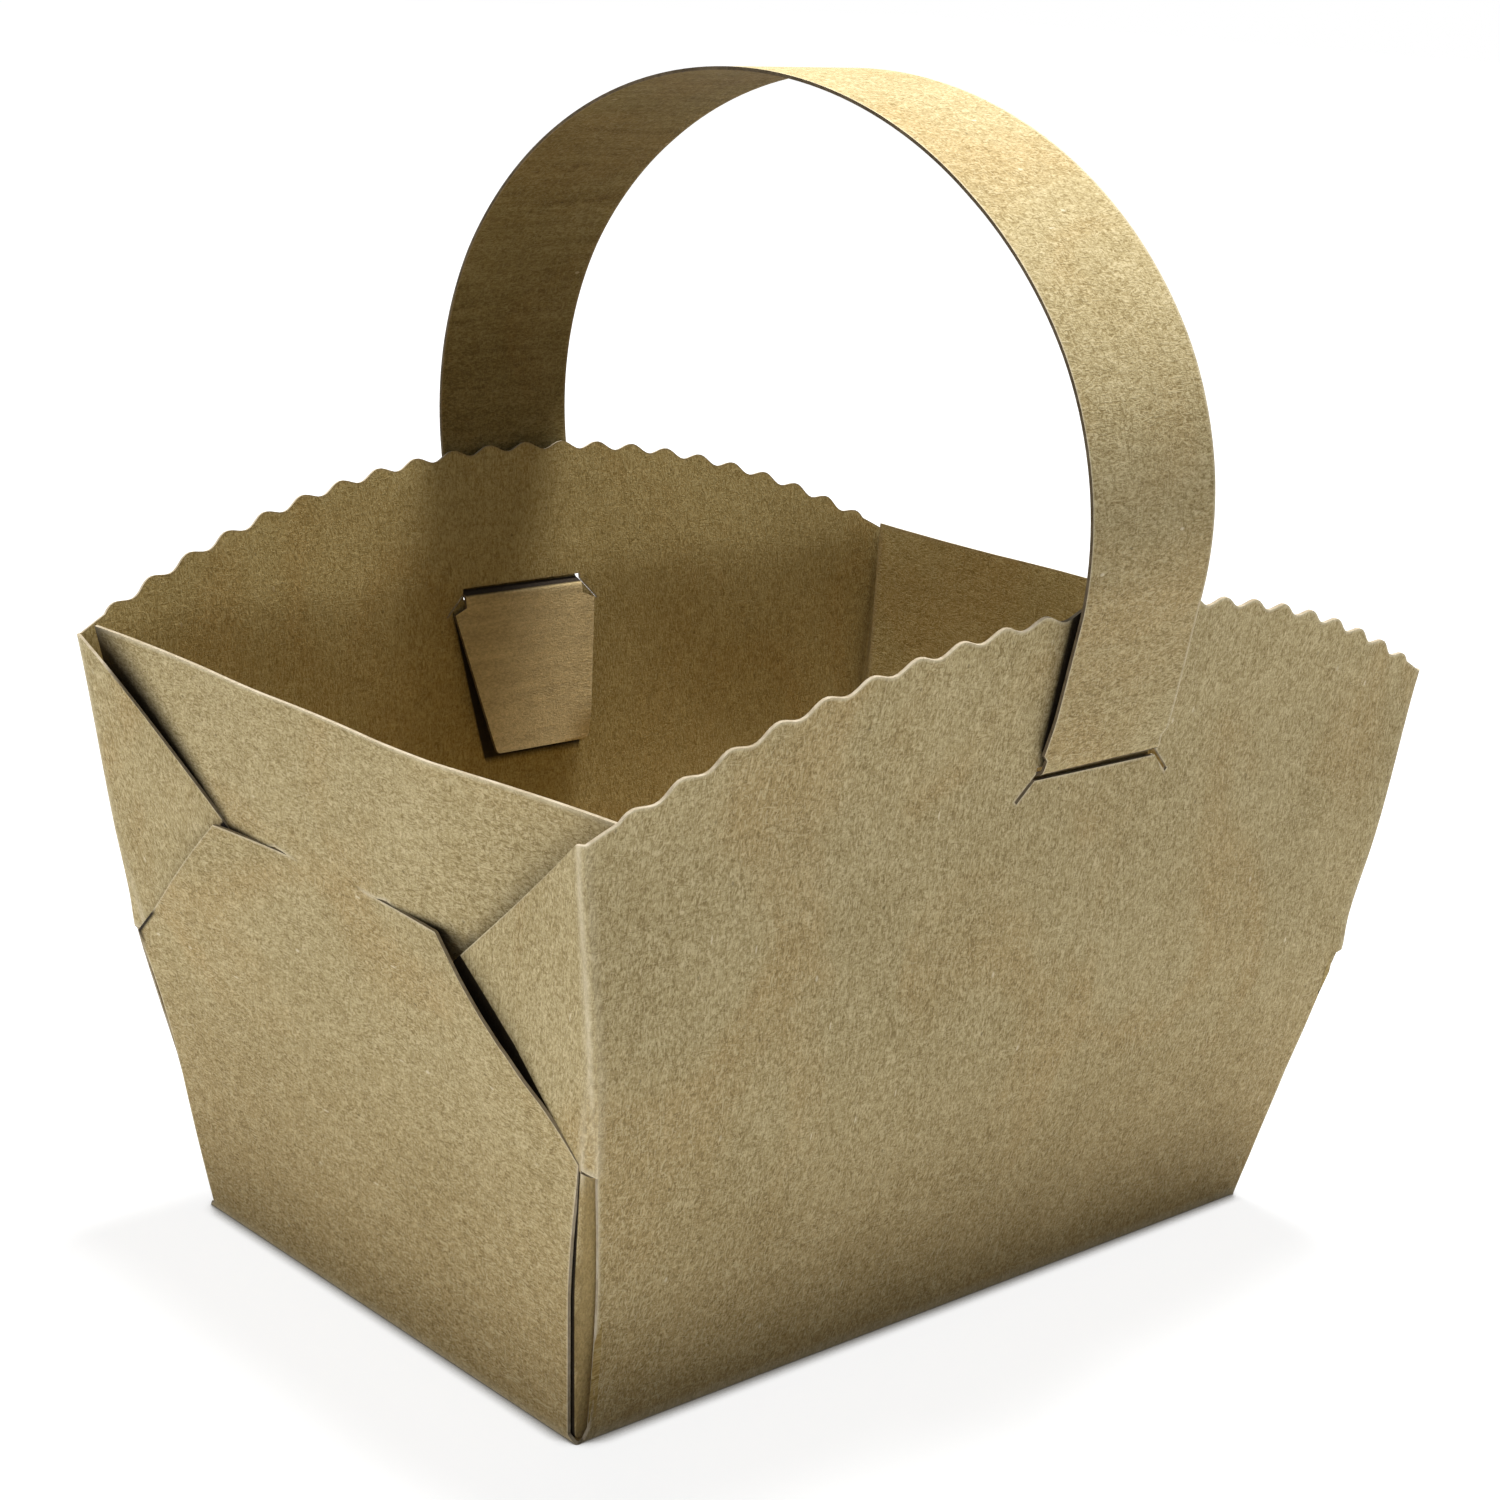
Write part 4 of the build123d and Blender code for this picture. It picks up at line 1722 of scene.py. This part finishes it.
    def half_breadth(self, height: Points) -> Points:
        """Half the band's breadth: tapered end, shoulders, neck, straight band.

        Args:
            height: up from the table.

        Returns:
            The half breadths in mm.
        """
        shoulder = (self.width - self.neck_width) / 2
        end = self.slot_height - self.lock_length
        neck_low = self.slot_height - self.neck_length / 2
        neck_high = self.slot_height + self.neck_length / 2
        stops = (end, neck_low - shoulder, neck_low, neck_high, neck_high + shoulder)
        halves = np.array(
            [self.lock_end_width, self.lock_width, self.neck_width, self.neck_width, self.width]
        ) / 2
        plain = np.interp(height, stops, halves)
        above = np.clip(height - end, 0.0, self.lock_corner)
        round_off = self.lock_corner - np.sqrt(self.lock_corner**2 - (self.lock_corner - above) ** 2)
        return plain - round_off

    def build(self, finishes: list[Union[KraftFace, CutEdge]]) -> bpy.types.Object:
        """Bends the strap.

        Args:
            finishes: the finish of each face of the board, in the order of Face.

        Returns:
            The finished strap.
        """
        half = self.half_path()
        path = np.concatenate([half, (half * np.array([-1.0, 1.0]))[::-1][1:]])
        steps = np.linalg.norm(np.diff(path, axis=0), axis=1)
        length = np.concatenate([[0.0], np.cumsum(steps)])
        tangent = np.gradient(path, axis=0)
        tangent /= np.linalg.norm(tangent, axis=1)[:, None]
        normal = np.stack([tangent[:, 1], -tangent[:, 0]], axis=1)
        breadth = self.half_breadth(path[:, 1])
        rows = np.arange(len(path))
        columns = spread((-1.0, 0), (-0.97, 1), (-0.9, 1), (0.9, 16), (0.955, 1), (1.0, 1))

        def place(share: Points, row: Points) -> Points:
            """A point across the band, with the band's slight twist.

            Args:
                share: from -1 to 1 across the band.
                row: which point of the path.

            Returns:
                The points in mm.
            """
            index = np.rint(row).astype(int)
            y, z = path[index].T
            out = self.twist(share, y, z)
            middle = np.interp(y, (-self.leg_reach, self.leg_reach), (self.front_shift, self.rear_shift))
            below = self.slot_height - self.slew_below - z
            hanging = np.clip(below / self.lock_length, 0.0, 1.0)
            x = middle + share * breadth[index] + self.lock_slew * hanging
            return np.stack([x, y + out * normal[index, 0], z + out * normal[index, 1]], axis=1)

        def flat(share: Points, row: Points) -> Points:
            """On the blank the band lies with its length across the grain."""
            index = np.rint(row).astype(int)
            return np.stack([length[index] - self.blank_half, share * breadth[index]], axis=1)

        strap = self.panel("strap_handle", columns, rows.astype(float), place, flat, (0, 0, 1))
        strap.data.name = "strap_handle"
        # A pale line along the band's cut edges, painted as a highlight.
        self.mark(strap, "crease", self.cut_line(strap))
        # Painted shade on the band where it bends through the slot, and painted light on the lock that hangs
        # inside the wall.
        steep = math.cos(math.atan(self.wall_lean))
        y, z = path.T
        within = np.abs(y) - self.base_width / 2 - self.wall_lean * z + self.sheet / 2 / steep
        near_slot = np.abs(z - self.slot_height) < self.slot_near
        threaded = (np.abs(within) < self.wall_near) & near_slot
        tone_and_painted_light = (within <= -self.wall_near) & (z < self.slot_height + self.slot_drop)
        for name, rows_marked in (("gap", 1.0 * threaded), ("tone_and_painted_light", self.tone_and_light_share * tone_and_painted_light)):
            self.mark(strap, name, np.tile(rows_marked, (len(columns), 1)).T.ravel())
        self.dress(strap, finishes)
        self.thicken(strap, 0.0)
        return strap

    def twist(self, share: Points, y: Points, z: Points) -> Points:
        """How far the band stands off its plain path.

        Args:
            share: from -1 to 1 across the band.
            y: place across the tray.
            z: height.

        Returns:
            The distance along the band's outward normal.
        """
        left, right = (1.0 - share) / 2, (1.0 + share) / 2
        front = np.interp(z, self.twist_heights, self.front_twist) * left
        rear = np.interp(z, self.twist_heights, self.rear_twist) * right
        low_fade = np.clip((z - self.lie_from) / self.lie_fades[0], 0.0, 1.0)
        high_fade = np.clip((self.lie_until - z) / self.lie_fades[1], 0.0, 1.0)
        lying = self.lie_off * low_fade * high_fade
        sprung = np.sin(math.pi * np.clip(z / self.corner_height, 0.0, 1.0)) ** self.spring_power
        lying += self.spring_share * self.wall_spring * sprung
        end = self.slot_height - self.lock_length
        hanging = np.clip((self.hang_from - z) / (self.hang_from - end), 0.0, 1.0)
        swing = -self.hang_swing * hanging * left
        off_corner = np.hypot(share - 1.0, (z - end) / self.curl_height)
        curl = self.curl * fall(off_corner, self.curl_reach) * (y > 0)
        return np.where(y < 0, front, rear) + lying + swing + curl * (z < self.curl_top)


@dataclass
class Studio:
    """Floor, light and camera around the basket."""

    focal_pixels: float = 2885.7
    picture: float = 1500.0
    sensor: float = 36.0
    azimuth: float = -42.438
    elevation: float = 15.894
    roll: float = 3.124
    distance: float = 362.47
    aim_right: float = -1.829
    aim_up: float = -56.355
    ambient: float = 0.16
    floor_size: float = 8.0
    floor_drop: float = 0.02
    matt: float = 0.8
    dim: float = 0.24
    near_white: float = 0.88
    white_span: tuple[float, float] = (0.15, 0.55)
    contact: float = 3.0
    contact_span: tuple[float, float] = (0.30, 0.78)
    contact_shadow_colour: Colour = (0.06, 0.052, 0.04)

    @staticmethod
    def seen(desk: NodeDesk) -> Signal:
        """Tells what is looked at from what only lights the basket.

        Args:
            desk: where the nodes go.

        Returns:
            1 for the camera's rays and those through gloss and glass, 0 for the others.
        """
        path = desk.node("ShaderNodeLightPath", {}, {})
        rays = ("Is Camera Ray", "Is Glossy Ray", "Is Transmission Ray")
        camera, gloss, glass = (desk.signal(path, ray) for ray in rays)
        return camera.both(gloss).both(glass)

    def floor(self) -> bpy.types.Object:
        """A pale floor that keeps the basket's shadow.

        Returns:
            The floor's object.
        """
        bpy.ops.object.select_all(action="DESELECT")
        bpy.ops.mesh.primitive_plane_add(size=self.floor_size, location=(0, 0, -self.floor_drop * MM))
        made = bpy.context.active_object
        made.name = "floor"
        bpy.ops.object.transform_apply(location=True, rotation=True, scale=True)
        finish = bpy.data.materials.new("pale_floor")
        finish.use_nodes = True
        desk = NodeDesk(finish.node_tree)
        seen = self.seen(desk)
        matt = desk.node("ShaderNodeBsdfDiffuse", {}, {"Color": (self.matt, self.matt, self.matt, 1.0)})
        dim = desk.node("ShaderNodeBsdfDiffuse", {}, {"Color": (self.dim, self.dim, self.dim, 1.0)})
        # The dark line round the basket's foot is contact shadow painted into the floor's glow from an
        # ambient-occlusion node.
        near = desk.node("ShaderNodeAmbientOcclusion", {"samples": 8}, {"Distance": self.contact * MM})
        shade = desk.signal(near, "AO").step(*self.contact_span)
        spot = desk.node("ShaderNodeTexCoord", {}, {}).outputs["Object"]
        reach = desk.node("ShaderNodeVectorMath", {"operation": "LENGTH"}, {0: spot})
        away = desk.signal(reach, "Value").step(*self.white_span)
        pale = desk.blend(away, (self.near_white,) * 3, (1.0, 1.0, 1.0))
        tone = desk.blend(shade, self.contact_shadow_colour, pale)
        glow = desk.node("ShaderNodeEmission", {}, {"Color": tone, "Strength": 1.0})
        white = desk.node("ShaderNodeAddShader", {}, {0: dim.outputs[0], 1: glow.outputs[0]})
        both = desk.node("ShaderNodeMixShader", {}, {0: seen, 1: matt.outputs[0], 2: white.outputs[0]})
        desk.node("ShaderNodeOutputMaterial", {}, {"Surface": both.outputs[0]})
        made.data.materials.append(finish)
        return made

    def sky(self) -> None:
        """Even light from all round, seen as white by the camera."""
        world = bpy.data.worlds.new("studio")
        bpy.context.scene.world = world
        world.use_nodes = True
        desk = NodeDesk(world.node_tree)
        seen = self.seen(desk)
        white = (1.0, 1.0, 1.0, 1.0)
        light = desk.node("ShaderNodeBackground", {}, {"Color": white, "Strength": self.ambient})
        shown = desk.node("ShaderNodeBackground", {}, {"Color": white, "Strength": 1.0})
        both = desk.node("ShaderNodeMixShader", {}, {0: seen, 1: light.outputs[0], 2: shown.outputs[0]})
        desk.node("ShaderNodeOutputWorld", {}, {"Surface": both.outputs[0]})

    @staticmethod
    def lamp(name: str, place: Colour, aim: Colour, size: float, level: float) -> None:
        """Adds a soft lamp.

        Args:
            name: its name.
            place: where it hangs, in m.
            aim: the point it faces, in m.
            size: its width, in m.
            level: 1 lights a facing surface at its own colour.
        """
        gap = Vector(aim) - Vector(place)
        data = bpy.data.lights.new(name, "AREA")
        data.shape = "SQUARE"
        data.size = size
        data.energy = level * math.pi**2 * gap.length_squared
        made = bpy.data.objects.new(name, data)
        made.matrix_world = Matrix.Translation(place) @ gap.to_track_quat("-Z", "Y").to_matrix().to_4x4()
        bpy.context.scene.collection.objects.link(made)

    def camera(self) -> None:
        """Places the camera where the photograph was taken from."""
        turn, tilt, roll = (math.radians(a) for a in (self.azimuth, self.elevation, self.roll))
        level = math.cos(tilt)
        back = Vector((math.sin(turn) * level, -math.cos(turn) * level, math.sin(tilt)))
        right = Vector((0, 0, 1)).cross(back).normalized()
        up = back.cross(right)
        right, up = (
            math.cos(roll) * right + math.sin(roll) * up,
            -math.sin(roll) * right + math.cos(roll) * up,
        )
        spot = (back * self.distance - right * self.aim_right - up * self.aim_up) * MM
        data = bpy.data.cameras.new("camera")
        data.sensor_width = self.sensor
        data.lens = self.sensor * self.focal_pixels / self.picture
        data.clip_start = 0.01
        made = bpy.data.objects.new("camera", data)
        rows = [[column[axis] for column in (right, up, back, spot)] for axis in range(3)]
        made.matrix_world = Matrix((*rows, (0, 0, 0, 1)))
        bpy.context.scene.collection.objects.link(made)
        bpy.context.scene.camera = made

    def build(self) -> None:
        """Sets up the floor, the light and the camera."""
        self.floor()
        self.sky()
        self.lamp("overhead", (0.15, 0.095, 0.95), (0.0, 0.0, 0.07), 0.25, 2.35)
        self.lamp("end_fill", (-0.75, -0.10, 0.06), (0.0, 0.0, 0.045), 0.10, 0.20)
        self.camera()
        bpy.context.scene.view_settings.view_transform = "Standard"


OUTSIDE = KraftFace(
    name="kraft_outside",
    pulp=(0.404, 0.322, 0.161),
    shade=(0.236, 0.174, 0.072),
    fibre=(0.578, 0.484, 0.284),
    fleck=(0.86, 0.78, 0.58),
    rubbed=(0.66, 0.58, 0.41),
    seed=7.0,
)
INSIDE = KraftFace(
    name="kraft_inside",
    # The inside reads its painted shade from its own attribute.
    gap="painted_shade_inside",
    pulp=(0.370, 0.280, 0.112),
    shade=(0.240, 0.170, 0.056),
    fibre=(0.490, 0.390, 0.185),
    fleck=(0.50, 0.40, 0.24),
    rubbed=(0.30, 0.22, 0.11),
    seed=61.0,
)
# The strap's reverse: a darker copy of the board's inside, painted shade for the arch's underside; its core
# is a paler tone, painted light on the lock.
STRAP_REVERSE_PAINTED_SHADE_AND_LIGHT = KraftFace(
    name="strap_reverse_painted_shade_and_light",
    pulp=(0.178, 0.128, 0.040),
    shade=(0.106, 0.072, 0.018),
    fibre=(0.245, 0.186, 0.076),
    fleck=(0.55, 0.44, 0.27),
    rubbed=(0.30, 0.22, 0.11),
    core=(0.73, 0.57, 0.305),
    streak=0.7,
    seed=127.0,
)
CUT = CutEdge(name="cut_edge", core=(0.42, 0.36, 0.262), layer=(0.30, 0.245, 0.16))
# A darker copy of the cut edge, painted shade on the strap's edges.
STRAP_CUT_PAINTED_SHADE = CutEdge(name="strap_cut_edge_painted_shade", core=(0.15, 0.115, 0.07), layer=(0.08, 0.058, 0.033))


def main() -> None:
    """Builds the tray, the strap and the studio in order."""
    logging.basicConfig(level=logging.INFO, format="%(message)s")
    tray = FoldedTray()
    folded = tray.build([OUTSIDE, INSIDE, CUT])
    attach(folded, "root")
    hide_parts("basket_tray")
    LOG.info("folded tray: %d faces", len(folded.data.polygons))

    strap = StrapHandle()
    bent = strap.build([OUTSIDE, STRAP_REVERSE_PAINTED_SHADE_AND_LIGHT, STRAP_CUT_PAINTED_SHADE])
    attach(bent, "root")
    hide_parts("handle_strap")
    LOG.info("strap handle: %d faces", len(bent.data.polygons))

    Studio().build()


if __name__ == "__main__":
    main()
